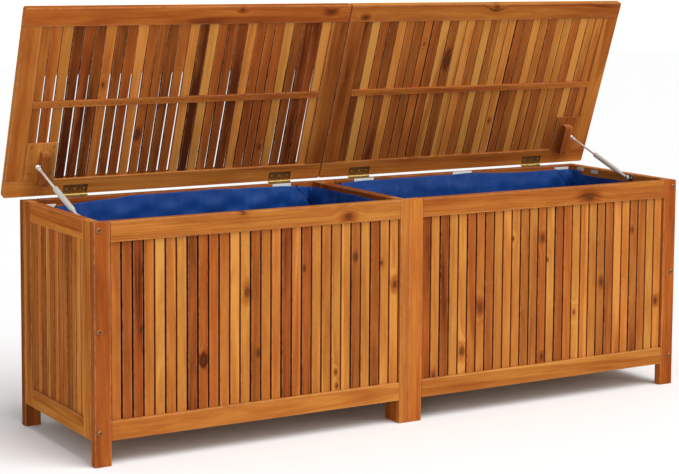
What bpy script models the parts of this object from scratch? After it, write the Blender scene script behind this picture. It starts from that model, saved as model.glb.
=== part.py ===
"""Slatted wooden deck storage box: two bays, two lids on gas struts, cloth liners.

The box is laid out from its front-left foot: X along the front, Y front to rear, Z up.
"""

import math

import bmesh
import bpy
from mathutils import Vector

GAP = 0.0003

# Carcass
BODY_LENGTH = 1.668
BODY_DEPTH = 0.440
RIM_HEIGHT = 0.548
WOOD_THICKNESS = 0.023
POST_WIDTH = 0.040
RAIL_HEIGHT = 0.046
LEG_CLEARANCE = 0.057
DIVIDER_LEFT = 0.800
DIVIDER_THICKNESS = 0.024
END_STILE_WIDTH = 0.042

# Slats: thin boards whose ends sit in grooves of the rails
WALL_SLAT_THICKNESS = 0.010
WALL_SLAT_GAP = 0.0027
WALL_SLAT_COUNT = 28
END_SLAT_COUNT = 12
GROOVE_DEPTH = 0.011
TONGUE = 0.0095
TONGUE_BAND = 0.0075

# Bay floors and cloth liners
FLOOR_BOARD_PITCH = 0.078
FLOOR_BOARD_GAP = 0.008
FLOOR_BOARD_THICKNESS = 0.010
FLOOR_TOP = 0.094
FLOOR_BATTEN_WIDTH = 0.030
FLOOR_BATTEN_HEIGHT = 0.016
LINER_WALL = 0.002
LINER_CLEARANCE = 0.0012
LINER_RIM_AT_END = 0.527
LINER_RIM_AT_DIVIDER = 0.538

# Lids, closed, measured from the hinge axis: s towards the front, height above the axis
HINGE_AXIS_Y = 0.444
HINGE_AXIS_Z = 0.551
LID_UNDERSIDE = 0.003
LID_THICKNESS = 0.018
LID_DEPTH = 0.484
LID_END_OVERHANG = 0.040
LID_MIDDLE_GAP = 0.003
LID_HINGE_RAIL = 0.043
LID_FREE_RAIL = 0.046
LID_STILE = 0.046
LID_SLAT_COUNT = 29
LID_SLAT_THICKNESS = 0.008
LID_SLAT_GAP = 0.0035
LID_OPEN_ANGLE = math.radians(70.3)
LID_CLOSING_RANGE = math.radians(70.9)
BATTEN_WIDTH = 0.017
BATTEN_CENTRE = 0.2405
BATTEN_PROUD = 0.001

# Hinges, two to a lid
HINGE_LENGTH = 0.064
HINGE_LEAF_WIDTH = 0.022
HINGE_LEAF_THICKNESS = 0.0020
HINGE_LEAF_SUNK = 0.0015
HINGE_BARREL_RADIUS = 0.0029
HINGE_BARREL_END = 0.020
HINGE_PIN_RADIUS = 0.0011
HINGE_BORE_RADIUS = 0.0014
HINGE_OUTER_OFFSET = 0.690
HINGE_INNER_OFFSET = 0.121

# Strut mounting boards inside the lids
MOUNT_PLATE_WIDTH = 0.078
MOUNT_PLATE_TOP = 0.141
MOUNT_PLATE_THICKNESS = 0.0062
MOUNT_BLOCK_INSET = 0.040
MOUNT_BLOCK_WIDTH = 0.024
MOUNT_BLOCK_START = 0.030
MOUNT_BLOCK_END = 0.120
MOUNT_BLOCK_HEIGHT = 0.0217

# Gas struts
STRUT_INSET = 0.033
STRUT_FOOT_Y = 0.160
STRUT_FOOT_Z = 0.538
STUD_DISTANCE = 0.0857
STUD_DROP = 0.0107
TUBE_START = 0.036
TUBE_END = 0.164
TUBE_RADIUS = 0.0075
TUBE_BORE = 0.0050
TUBE_MOUTH = 0.0034
ROD_RADIUS = 0.0030
ROD_HIDDEN = 0.016
EYE_RADIUS = 0.0068
EYE_BORE = 0.0043
EYE_WIDTH = 0.007
FOOT_PIN_RADIUS = 0.0038
ROD_EYE_RADIUS = 0.0056
STUD_RADIUS = 0.0036
STUD_FLANGE_RADIUS = 0.0060
STUD_FLANGE_THICKNESS = 0.0018
BRACKET_HALF_LENGTH = 0.013
BRACKET_HALF_HEIGHT = 0.0085
BRACKET_THICKNESS = 0.002
ROUND_SEGMENTS = 24

INNER_FRONT = WOOD_THICKNESS
INNER_REAR = BODY_DEPTH - WOOD_THICKNESS
DIVIDER_RIGHT = DIVIDER_LEFT + DIVIDER_THICKNESS
RAIL_TOP_START = RIM_HEIGHT - RAIL_HEIGHT
RAIL_BOTTOM_END = LEG_CLEARANCE + RAIL_HEIGHT - 0.002
CENTRE_X = BODY_LENGTH / 2
REAR_REACH = HINGE_AXIS_Y + (LID_UNDERSIDE + LID_THICKNESS) * math.sin(LID_OPEN_ANGLE)
ORIGIN = Vector((CENTRE_X, REAR_REACH / 2, 0.0))


def clear_scene():
    """Remove everything that a fresh Blender scene holds."""
    for item in list(bpy.data.objects):
        bpy.data.objects.remove(item, do_unlink=True)


def make_material(name, colour, roughness, metallic=0.0):
    """A plain Principled material."""
    material = bpy.data.materials.new(name)
    material.use_nodes = True
    shader = material.node_tree.nodes["Principled BSDF"]
    shader.inputs["Base Color"].default_value = (*colour, 1.0)
    shader.inputs["Roughness"].default_value = roughness
    shader.inputs["Metallic"].default_value = metallic
    return material


def add_empty(name, location, turn_x=0.0, parent=None):
    """An empty that stands on a joint axis."""
    empty = bpy.data.objects.new(name, None)
    bpy.context.collection.objects.link(empty)
    empty.location = location
    empty.rotation_euler.x = turn_x
    empty.parent = parent
    return empty


def add_object(name, shape, material, parent):
    """Turn a bmesh into an object with its own mesh, facing outwards."""
    bmesh.ops.recalc_face_normals(shape, faces=shape.faces)
    if shape.calc_volume(signed=True) < 0.0:
        bmesh.ops.reverse_faces(shape, faces=shape.faces)
    mesh = bpy.data.meshes.new(name)
    shape.to_mesh(mesh)
    shape.free()
    mesh.materials.append(material)
    item = bpy.data.objects.new(name, mesh)
    bpy.context.collection.objects.link(item)
    item.parent = parent
    return item


def box_into(shape, low, high):
    """Add a box between two corners to a bmesh."""
    made = bmesh.ops.create_cube(shape, size=1.0)
    low = Vector(low)
    high = Vector(high)
    for vertex in made["verts"]:
        share = vertex.co + Vector((0.5, 0.5, 0.5))
        vertex.co = Vector([low[i] + share[i] * (high[i] - low[i]) for i in range(3)])


def add_box(name, low, high, material, parent):
    """A board between two corners."""
    shape = bmesh.new()
    box_into(shape, low, high)
    return add_object(name, shape, material, parent)


def add_boxes(name, corners, material, parent):
    """Several boxes as one mesh, for a Boolean to join or cut with."""
    shape = bmesh.new()
    for low, high in corners:
        box_into(shape, low, high)
    return add_object(name, shape, material, parent)


def round_into(shape, radius, start, end, axis):
    """Add a closed cylinder from one point to another along X or Z."""
    made = bmesh.ops.create_cone(
        shape, cap_ends=True, segments=ROUND_SEGMENTS, radius1=radius, radius2=radius, depth=1.0
    )
    for vertex in made["verts"]:
        across = vertex.co.copy()
        along = across.z + 0.5
        if axis == "X":
            vertex.co = Vector((0.0, across.x, across.y))
        else:
            vertex.co = Vector((across.x, across.y, 0.0))
        vertex.co += Vector(start) + (Vector(end) - Vector(start)) * along


def add_round(name, radius, start, end, axis, material, parent):
    """A cylinder along X or Z."""
    shape = bmesh.new()
    round_into(shape, radius, start, end, axis)
    return add_object(name, shape, material, parent)


def smooth(item):
    """Shade round faces smooth and keep true corners sharp."""
    item.data.shade_smooth()
    item.data.set_sharp_from_angle(angle=math.radians(40))


def combine(item, tool, operation):
    """Join or cut an object with a hidden tool object."""
    modifier = item.modifiers.new(tool.name, "BOOLEAN")
    modifier.operation = operation
    modifier.object = tool
    tool.hide_render = True
    tool.display_type = "WIRE"


def add_grooved_rail(name, start, along, across, inward, length, height, thickness, groove, material, parent):
    """A rail with a groove for slat ends in its inner edge.

    along is the rail's run, across its thickness and inward points at the slats.
    """
    half = groove / 2
    middle = thickness / 2
    outline = [
        (0.0, 0.0),
        (thickness, 0.0),
        (thickness, height),
        (middle + half, height),
        (middle + half, height - GROOVE_DEPTH),
        (middle - half, height - GROOVE_DEPTH),
        (middle - half, height),
        (0.0, height),
    ]
    shape = bmesh.new()
    rings = []
    for run in (0.0, length):
        ring = []
        for side, reach in outline:
            point = Vector(start) + Vector(along) * run + Vector(across) * side + Vector(inward) * reach
            ring.append(shape.verts.new(point))
        rings.append(ring)
    for i in range(len(outline)):
        j = (i + 1) % len(outline)
        shape.faces.new((rings[0][i], rings[0][j], rings[1][j], rings[1][i]))
    shape.faces.new(rings[0])
    shape.faces.new(rings[1])
    return add_object(name, shape, material, parent)


def add_slat_field(name, start, along, across, upward, width, height, thickness, count, slat_gap, material, parent):
    """Slats side by side, joined only by thin bands that hide in the rails' grooves."""
    slat = (width - (count - 1) * slat_gap) / count
    edges = []
    for i in range(count):
        edges.append(i * (slat + slat_gap))
        edges.append(i * (slat + slat_gap) + slat)
    levels = [0.0, TONGUE_BAND, height - TONGUE_BAND, height]

    def filled(i, j):
        inside = 0 <= i < len(edges) - 1 and 0 <= j < len(levels) - 1
        return inside and (j != 1 or i % 2 == 0)

    shape = bmesh.new()
    corners = {}

    def corner(i, j, side):
        if (i, j, side) not in corners:
            point = Vector(start) + Vector(along) * edges[i] + Vector(upward) * levels[j]
            corners[i, j, side] = shape.verts.new(point + Vector(across) * side * thickness)
        return corners[i, j, side]

    for i in range(len(edges) - 1):
        for j in range(len(levels) - 1):
            if not filled(i, j):
                continue
            for side in (0, 1):
                shape.faces.new([corner(i + a, j + b, side) for a, b in ((0, 0), (1, 0), (1, 1), (0, 1))])
            walls = {
                (i - 1, j): ((i, j), (i, j + 1)),
                (i + 1, j): ((i + 1, j), (i + 1, j + 1)),
                (i, j - 1): ((i, j), (i + 1, j)),
                (i, j + 1): ((i, j + 1), (i + 1, j + 1)),
            }
            for neighbour, (first, second) in walls.items():
                if not filled(*neighbour):
                    shape.faces.new((corner(*first, 0), corner(*second, 0), corner(*second, 1), corner(*first, 1)))
    return add_object(name, shape, material, parent)


def build_long_side(side, wood, slat_wood, parent):
    """Front or rear wall: three posts, two bays of rails and slats."""
    face = 0.0 if side == "front" else BODY_DEPTH - WOOD_THICKNESS
    back = face + WOOD_THICKNESS
    middle_end = DIVIDER_RIGHT + POST_WIDTH
    posts = {
        "left_post": (0.0, POST_WIDTH),
        "middle_stile": (DIVIDER_RIGHT + GAP, middle_end),
        "right_post": (BODY_LENGTH - POST_WIDTH, BODY_LENGTH),
    }
    for part, (low, high) in posts.items():
        add_box(f"{side}_{part}", (low, face, 0.0), (high, back, RIM_HEIGHT), wood, parent)
    bays = {
        "left": (POST_WIDTH + GAP, DIVIDER_LEFT - GAP),
        "right": (middle_end + GAP, BODY_LENGTH - POST_WIDTH - GAP),
    }
    groove = WALL_SLAT_THICKNESS + 2 * GAP
    slat_face = face + (WOOD_THICKNESS - WALL_SLAT_THICKNESS) / 2
    for bay, (low, high) in bays.items():
        length = high - low
        add_grooved_rail(
            f"{side}_{bay}_top_rail", (low, face, RIM_HEIGHT), (1, 0, 0), (0, 1, 0), (0, 0, -1),
            length, RAIL_HEIGHT, WOOD_THICKNESS, groove, wood, parent,
        )
        add_grooved_rail(
            f"{side}_{bay}_bottom_rail", (low, face, LEG_CLEARANCE), (1, 0, 0), (0, 1, 0), (0, 0, 1),
            length, RAIL_BOTTOM_END - LEG_CLEARANCE, WOOD_THICKNESS, groove, wood, parent,
        )
        bottom = RAIL_BOTTOM_END - TONGUE
        top = RAIL_TOP_START + TONGUE
        add_slat_field(
            f"{side}_{bay}_slats", (low + WALL_SLAT_GAP, slat_face, bottom), (1, 0, 0), (0, 1, 0), (0, 0, 1),
            length - 2 * WALL_SLAT_GAP, top - bottom, WALL_SLAT_THICKNESS, WALL_SLAT_COUNT, WALL_SLAT_GAP,
            slat_wood, parent,
        )


def build_end(side, wood, slat_wood, parent):
    """Left or right end frame, standing between the corner posts."""
    face = 0.0 if side == "left" else BODY_LENGTH - WOOD_THICKNESS
    back = face + WOOD_THICKNESS
    front = INNER_FRONT + GAP
    rear = INNER_REAR - GAP
    stiles = {
        "front_stile": (front, front + END_STILE_WIDTH),
        "rear_stile": (rear - END_STILE_WIDTH, rear),
    }
    for part, (low, high) in stiles.items():
        add_box(f"{side}_end_{part}", (face, low, LEG_CLEARANCE), (back, high, RIM_HEIGHT), wood, parent)
    low = front + END_STILE_WIDTH + GAP
    length = rear - END_STILE_WIDTH - GAP - low
    groove = WALL_SLAT_THICKNESS + 2 * GAP
    add_grooved_rail(
        f"{side}_end_top_rail", (face, low, RIM_HEIGHT), (0, 1, 0), (1, 0, 0), (0, 0, -1),
        length, RAIL_HEIGHT, WOOD_THICKNESS, groove, wood, parent,
    )
    add_grooved_rail(
        f"{side}_end_bottom_rail", (face, low, LEG_CLEARANCE), (0, 1, 0), (1, 0, 0), (0, 0, 1),
        length, RAIL_BOTTOM_END - LEG_CLEARANCE, WOOD_THICKNESS, groove, wood, parent,
    )
    bottom = RAIL_BOTTOM_END - TONGUE
    top = RAIL_TOP_START + TONGUE
    slat_face = face + (WOOD_THICKNESS - WALL_SLAT_THICKNESS) / 2
    add_slat_field(
        f"{side}_end_slats", (slat_face, low + WALL_SLAT_GAP, bottom), (0, 1, 0), (1, 0, 0), (0, 0, 1),
        length - 2 * WALL_SLAT_GAP, top - bottom, WALL_SLAT_THICKNESS, END_SLAT_COUNT, WALL_SLAT_GAP,
        slat_wood, parent,
    )


def build_divider(wood, slat_wood, parent):
    """Divider frame whose narrow front stile shows between the bays, and its slats."""
    stile_end = INNER_FRONT + END_STILE_WIDTH
    rear_start = INNER_REAR - END_STILE_WIDTH
    left = DIVIDER_LEFT
    right = DIVIDER_RIGHT
    frame = add_boxes(
        "divider_frame",
        [((left, 0.0, 0.0), (right, stile_end, RIM_HEIGHT))],
        wood, parent,
    )
    rear = add_boxes(
        "divider_rear_stile_tool",
        [((left, rear_start, 0.0), (right, BODY_DEPTH, RIM_HEIGHT))],
        wood, parent,
    )
    rails = add_boxes(
        "divider_rails_tool",
        [
            ((left, stile_end - 0.01, RAIL_TOP_START), (right, rear_start + 0.01, RIM_HEIGHT)),
            ((left, stile_end - 0.01, LEG_CLEARANCE), (right, rear_start + 0.01, RAIL_BOTTOM_END)),
        ],
        wood, parent,
    )
    middle = (left + right) / 2
    half = WALL_SLAT_THICKNESS / 2 + GAP
    groove = add_boxes(
        "divider_groove_tool",
        [
            (
                (middle - half, stile_end, RAIL_BOTTOM_END - GROOVE_DEPTH),
                (middle + half, rear_start, RAIL_TOP_START + GROOVE_DEPTH),
            )
        ],
        wood, parent,
    )
    combine(frame, rails, "UNION")
    combine(frame, rear, "UNION")
    combine(frame, groove, "DIFFERENCE")
    bottom = RAIL_BOTTOM_END - TONGUE
    top = RAIL_TOP_START + TONGUE
    add_slat_field(
        "divider_slats", (middle - WALL_SLAT_THICKNESS / 2, stile_end + WALL_SLAT_GAP, bottom),
        (0, 1, 0), (1, 0, 0), (0, 0, 1), rear_start - stile_end - 2 * WALL_SLAT_GAP, top - bottom,
        WALL_SLAT_THICKNESS, END_SLAT_COUNT, WALL_SLAT_GAP, slat_wood, parent,
    )


def bay_limits():
    """Left and right inner walls of each bay."""
    return {
        "left": (WOOD_THICKNESS, DIVIDER_LEFT),
        "right": (DIVIDER_RIGHT, BODY_LENGTH - WOOD_THICKNESS),
    }


def build_floor(bay, low, high, wood, parent):
    """Floor boards across the bay on two long battens."""
    front = INNER_FRONT + 2 * GAP
    rear = INNER_REAR - 2 * GAP
    low += 2 * GAP
    high -= 2 * GAP
    count = round((high - low) / FLOOR_BOARD_PITCH)
    board = (high - low - (count - 1) * FLOOR_BOARD_GAP) / count
    board_base = FLOOR_TOP - FLOOR_BOARD_THICKNESS
    batten_base = board_base - FLOOR_BATTEN_HEIGHT
    corners = []
    for middle in (front + 0.06, rear - 0.06):
        near = middle - FLOOR_BATTEN_WIDTH / 2
        far = middle + FLOOR_BATTEN_WIDTH / 2
        corners.append(((low + 0.002, near, batten_base), (high - 0.002, far, board_base + 0.001)))
    floor = add_boxes(f"{bay}_floor", corners, wood, parent)
    boards = []
    for i in range(count):
        start = low + i * (board + FLOOR_BOARD_GAP)
        boards.append(((start, front, board_base), (start + board, rear, FLOOR_TOP)))
    combine(floor, add_boxes(f"{bay}_floor_boards_tool", boards, wood, parent), "UNION")


def build_liner(bay, low, high, cloth, parent):
    """Cloth bag with an open top that fills the bay above its floor.

    Its rim is highest at the divider and slopes down to pass under the strut at the box's end.
    """
    base = FLOOR_TOP + 2 * GAP
    outer_low = Vector((low + LINER_CLEARANCE, INNER_FRONT + LINER_CLEARANCE, base))
    outer_high = Vector((high - LINER_CLEARANCE, INNER_REAR - LINER_CLEARANCE, base))
    wall = Vector((LINER_WALL, LINER_WALL, 0.0))
    inner_low = outer_low + wall
    inner_high = outer_high - wall
    end_x, divider_x = (low, high) if bay == "left" else (high, low)
    slope = (LINER_RIM_AT_DIVIDER - LINER_RIM_AT_END) / (divider_x - end_x)
    shape = bmesh.new()

    def ring(near, far, height=None):
        spots = ((near.x, near.y), (far.x, near.y), (far.x, far.y), (near.x, far.y))
        made = []
        for x, y in spots:
            z = LINER_RIM_AT_END + slope * (x - end_x) if height is None else height
            made.append(shape.verts.new((x, y, z)))
        return made

    rings = [
        ring(outer_low, outer_high, base),
        ring(outer_low, outer_high),
        ring(inner_low, inner_high),
        ring(inner_low, inner_high, base + LINER_WALL),
    ]
    for first, second in zip(rings, rings[1:]):
        for i in range(4):
            j = (i + 1) % 4
            shape.faces.new((first[i], first[j], second[j], second[i]))
    shape.faces.new(rings[0])
    shape.faces.new(rings[3])
    add_object(f"{bay}_liner", shape, cloth, parent)


def lid_limits():
    """Ends of each lid along X, and which way its outer end points."""
    left_end = -LID_END_OVERHANG
    right_end = BODY_LENGTH + LID_END_OVERHANG
    return {
        "left": (left_end, CENTRE_X - LID_MIDDLE_GAP / 2, -1),
        "right": (CENTRE_X + LID_MIDDLE_GAP / 2, right_end, 1),
    }


def hinge_centres(outward):
    """Middle of a lid's two hinges along X."""
    return {
        "outer": CENTRE_X + outward * HINGE_OUTER_OFFSET,
        "inner": CENTRE_X + outward * HINGE_INNER_OFFSET,
    }


def build_lid(name, low, high, outward, wood, slat_wood, parent):
    """One lid, drawn closed from its hinge axis: towards the front is -Y."""
    under = LID_UNDERSIDE
    top = under + LID_THICKNESS
    length = high - low
    groove = LID_SLAT_THICKNESS + 2 * GAP
    hinge_rail = add_grooved_rail(
        f"{name}_hinge_rail", (low, 0.0, under), (1, 0, 0), (0, 0, 1), (0, -1, 0),
        length, LID_HINGE_RAIL, LID_THICKNESS, groove, wood, parent,
    )
    add_grooved_rail(
        f"{name}_free_rail", (low, -LID_DEPTH, under), (1, 0, 0), (0, 0, 1), (0, 1, 0),
        length, LID_FREE_RAIL, LID_THICKNESS, groove, wood, parent,
    )
    stile_near = -LID_DEPTH + LID_FREE_RAIL + GAP
    stile_far = -LID_HINGE_RAIL - GAP
    left_stile = "outer_stile" if outward < 0 else "inner_stile"
    right_stile = "inner_stile" if outward < 0 else "outer_stile"
    add_box(
        f"{name}_{left_stile}", (low, stile_near, under), (low + LID_STILE, stile_far, top), wood, parent
    )
    add_box(
        f"{name}_{right_stile}", (high - LID_STILE, stile_near, under), (high, stile_far, top), wood, parent
    )
    slat_under = under + (LID_THICKNESS - LID_SLAT_THICKNESS) / 2
    field_start = low + LID_STILE + LID_SLAT_GAP
    near = -LID_DEPTH + LID_FREE_RAIL - TONGUE
    far = -LID_HINGE_RAIL + TONGUE
    slats = add_slat_field(
        f"{name}_slats", (field_start, near, slat_under), (1, 0, 0), (0, 0, 1), (0, 1, 0),
        length - 2 * (LID_STILE + LID_SLAT_GAP), far - near, LID_SLAT_THICKNESS, LID_SLAT_COUNT, LID_SLAT_GAP,
        slat_wood, parent,
    )
    batten = add_box(
        f"{name}_batten_tool",
        (low + LID_STILE + GAP, -BATTEN_CENTRE - BATTEN_WIDTH / 2, under - BATTEN_PROUD),
        (high - LID_STILE - GAP, -BATTEN_CENTRE + BATTEN_WIDTH / 2, slat_under + 0.001),
        wood, parent,
    )
    combine(slats, batten, "UNION")
    recesses = []
    for centre in hinge_centres(outward).values():
        half = HINGE_LENGTH / 2 + GAP
        recesses.append(
            (
                (centre - half, -HINGE_LEAF_WIDTH - HINGE_BARREL_RADIUS - 2 * GAP, under - 0.005),
                (centre + half, 0.005, under + HINGE_LEAF_SUNK + GAP),
            )
        )
    combine(hinge_rail, add_boxes(f"{name}_recess_tool", recesses, wood, parent), "DIFFERENCE")


def build_strut_mount(name, outward, wood, parent):
    """Board and block on the lid's underside that carry the strut's stud."""
    outer_stile_edge = LID_STILE - LID_END_OVERHANG
    if outward < 0:
        plate = (outer_stile_edge + GAP, outer_stile_edge + MOUNT_PLATE_WIDTH)
        block = (MOUNT_BLOCK_INSET, MOUNT_BLOCK_INSET + MOUNT_BLOCK_WIDTH)
    else:
        plate = (BODY_LENGTH - outer_stile_edge - MOUNT_PLATE_WIDTH, BODY_LENGTH - outer_stile_edge - GAP)
        block = (BODY_LENGTH - MOUNT_BLOCK_INSET - MOUNT_BLOCK_WIDTH, BODY_LENGTH - MOUNT_BLOCK_INSET)
    slat_under = LID_UNDERSIDE + (LID_THICKNESS - LID_SLAT_THICKNESS) / 2
    plate_top = slat_under - GAP
    block_top = LID_UNDERSIDE - GAP
    mount = add_box(
        f"{name}_strut_mount",
        (plate[0], -MOUNT_PLATE_TOP, plate_top - MOUNT_PLATE_THICKNESS),
        (plate[1], -LID_HINGE_RAIL - GAP, plate_top),
        wood, parent,
    )
    block = add_box(
        f"{name}_strut_block_tool",
        (block[0], -MOUNT_BLOCK_END, block_top - MOUNT_BLOCK_HEIGHT),
        (block[1], -MOUNT_BLOCK_START, block_top),
        wood, parent,
    )
    combine(mount, block, "UNION")


def hinge_leaf(name, centre, on_box, metal, parent):
    """One leaf of a butt hinge with its share of the barrel, about the axis at Y and Z zero.

    The leaf on the box carries the pin and the two outer barrel pieces, the leaf on the lid
    carries the middle one.
    """
    half = HINGE_LENGTH / 2
    barrel_edge = half - HINGE_BARREL_END
    sign = -1.0 if on_box else 1.0
    inner = LID_UNDERSIDE + HINGE_LEAF_SUNK - HINGE_LEAF_THICKNESS
    outer = LID_UNDERSIDE + HINGE_LEAF_SUNK
    low_z = min(sign * inner, sign * outer)
    high_z = max(sign * inner, sign * outer)
    plate_edge = -HINGE_BARREL_RADIUS - 2 * GAP
    leaf = add_box(
        name, (centre - half, plate_edge - HINGE_LEAF_WIDTH, low_z), (centre + half, plate_edge, high_z),
        metal, parent,
    )
    if on_box:
        runs = [(-half, -barrel_edge - GAP), (barrel_edge + GAP, half)]
    else:
        runs = [(-barrel_edge, barrel_edge)]
    for number, (start, end) in enumerate(runs):
        web = add_box(
            f"{name}_web_tool_{number}",
            (centre + start, plate_edge - 0.001, low_z), (centre + end, 0.0, high_z), metal, parent,
        )
        barrel = add_round(
            f"{name}_barrel_tool_{number}", HINGE_BARREL_RADIUS,
            (centre + start, 0.0, 0.0), (centre + end, 0.0, 0.0), "X", metal, parent,
        )
        combine(leaf, web, "UNION")
        combine(leaf, barrel, "UNION")
    pin_length = half - 0.001 if on_box else half
    pin_radius = HINGE_PIN_RADIUS if on_box else HINGE_BORE_RADIUS
    pin = add_round(
        f"{name}_pin_tool", pin_radius, (centre - pin_length, 0.0, 0.0), (centre + pin_length, 0.0, 0.0),
        "X", metal, parent,
    )
    combine(leaf, pin, "UNION" if on_box else "DIFFERENCE")
    return leaf


def cut_rear_rails(brass_free_length, wood, parent):
    """Sink the box leaves of the hinges into the rear top rails."""
    for bay, (low, high, outward) in lid_limits().items():
        recesses = []
        for centre in hinge_centres(outward).values():
            half = brass_free_length / 2 + GAP
            near = HINGE_AXIS_Y - HINGE_BARREL_RADIUS - HINGE_LEAF_WIDTH - 4 * GAP
            recesses.append(
                (
                    (centre - half, near, RIM_HEIGHT - HINGE_LEAF_SUNK - GAP),
                    (centre + half, BODY_DEPTH + 0.005, RIM_HEIGHT + 0.005),
                )
            )
        rail = bpy.data.objects[f"rear_{bay}_top_rail"]
        tool = add_boxes(f"rear_{bay}_recess_tool", recesses, wood, parent)
        combine(rail, tool, "DIFFERENCE")


def add_spun(name, outline, material, parent):
    """A turned solid about local Z from (radius, height) points that start and end on the axis."""
    shape = bmesh.new()
    points = [shape.verts.new((radius, 0.0, height)) for radius, height in outline]
    edges = [shape.edges.new(pair) for pair in zip(points, points[1:])]
    bmesh.ops.spin(
        shape, geom=points + edges, cent=(0, 0, 0), axis=(0, 0, 1), angle=2 * math.pi,
        steps=ROUND_SEGMENTS, use_merge=True,
    )
    bmesh.ops.remove_doubles(shape, verts=shape.verts, dist=0.000001)
    return add_object(name, shape, material, parent)


def strut_geometry():
    """Open length and angle of a strut, and how far both change as the lid closes."""

    def stud(angle):
        y = -STUD_DISTANCE * math.cos(angle) - STUD_DROP * math.sin(angle)
        z = STUD_DISTANCE * math.sin(angle) - STUD_DROP * math.cos(angle)
        return HINGE_AXIS_Y + y - STRUT_FOOT_Y, HINGE_AXIS_Z + z - STRUT_FOOT_Z

    open_y, open_z = stud(LID_OPEN_ANGLE)
    closed_y, closed_z = stud(LID_OPEN_ANGLE - LID_CLOSING_RANGE)
    return {
        "length": math.hypot(open_y, open_z),
        "angle": math.atan2(open_z, open_y),
        "stroke": math.hypot(open_y, open_z) - math.hypot(closed_y, closed_z),
        "swing": math.atan2(open_z, open_y) - math.atan2(closed_z, closed_y),
    }


def build_strut(name, outward, grey, steel, parent):
    """Gas strut: foot bracket, cylinder and rod, along local Z of an empty on the foot pivot."""
    x = STRUT_INSET if outward < 0 else BODY_LENGTH - STRUT_INSET
    wall = WOOD_THICKNESS + GAP if outward < 0 else BODY_LENGTH - WOOD_THICKNESS - GAP
    plate_face = wall - outward * BRACKET_THICKNESS
    bracket = add_box(
        f"{name}_strut_bracket",
        (min(wall, plate_face), STRUT_FOOT_Y - BRACKET_HALF_LENGTH, STRUT_FOOT_Z - BRACKET_HALF_HEIGHT),
        (max(wall, plate_face), STRUT_FOOT_Y + BRACKET_HALF_LENGTH, STRUT_FOOT_Z + BRACKET_HALF_HEIGHT),
        grey, parent,
    )
    pin = add_round(
        f"{name}_strut_pin_tool", FOOT_PIN_RADIUS,
        (wall - outward * 0.001, STRUT_FOOT_Y, STRUT_FOOT_Z),
        (x - outward * (EYE_WIDTH / 2 + 0.002), STRUT_FOOT_Y, STRUT_FOOT_Z), "X", grey, parent,
    )
    combine(bracket, pin, "UNION")
    smooth(bracket)

    geometry = strut_geometry()
    axis = add_empty(
        f"{name}_strut_axis", (x, STRUT_FOOT_Y, STRUT_FOOT_Z), geometry["angle"] - math.pi / 2, parent
    )
    neck = 0.0036
    cylinder = add_spun(
        f"{name}_strut_cylinder",
        [
            (0.0, 0.0052),
            (neck, 0.0052),
            (neck, TUBE_START - 0.004),
            (TUBE_RADIUS - 0.002, TUBE_START),
            (TUBE_RADIUS, TUBE_START + 0.003),
            (TUBE_RADIUS, TUBE_END - 0.003),
            (TUBE_RADIUS - 0.0015, TUBE_END),
            (TUBE_MOUTH, TUBE_END),
            (TUBE_MOUTH, TUBE_END - 0.008),
            (TUBE_BORE, TUBE_END - 0.008),
            (TUBE_BORE, TUBE_START + 0.012),
            (0.0, TUBE_START + 0.012),
        ],
        grey, axis,
    )
    half = EYE_WIDTH / 2
    eye = add_round(
        f"{name}_strut_eye_tool", EYE_RADIUS, (-half, 0.0, 0.0), (half, 0.0, 0.0), "X", grey, axis
    )
    hole = add_round(
        f"{name}_strut_eye_hole_tool", EYE_BORE, (-half - 0.002, 0.0, 0.0), (half + 0.002, 0.0, 0.0),
        "X", grey, axis,
    )
    combine(cylinder, eye, "UNION")
    combine(cylinder, hole, "DIFFERENCE")
    smooth(cylinder)

    length = geometry["length"]
    rod = add_round(
        f"{name}_strut_rod", ROD_RADIUS, (0.0, 0.0, TUBE_END - ROD_HIDDEN), (0.0, 0.0, length), "Z",
        steel, axis,
    )
    rod_eye = add_round(
        f"{name}_strut_rod_eye_tool", ROD_EYE_RADIUS, (-half, 0.0, length), (half, 0.0, length), "X",
        steel, axis,
    )
    block_face = -outward * (MOUNT_BLOCK_INSET - STRUT_INSET - 0.0005)
    stud = add_round(
        f"{name}_strut_stud_tool", STUD_RADIUS, (outward * (half + 0.0015), 0.0, length),
        (block_face, 0.0, length), "X", steel, axis,
    )
    flange = add_round(
        f"{name}_strut_flange_tool", STUD_FLANGE_RADIUS, (block_face, 0.0, length),
        (block_face + outward * STUD_FLANGE_THICKNESS, 0.0, length), "X", steel, axis,
    )
    for tool in (rod_eye, stud, flange):
        combine(rod, tool, "UNION")
    smooth(rod)


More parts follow.
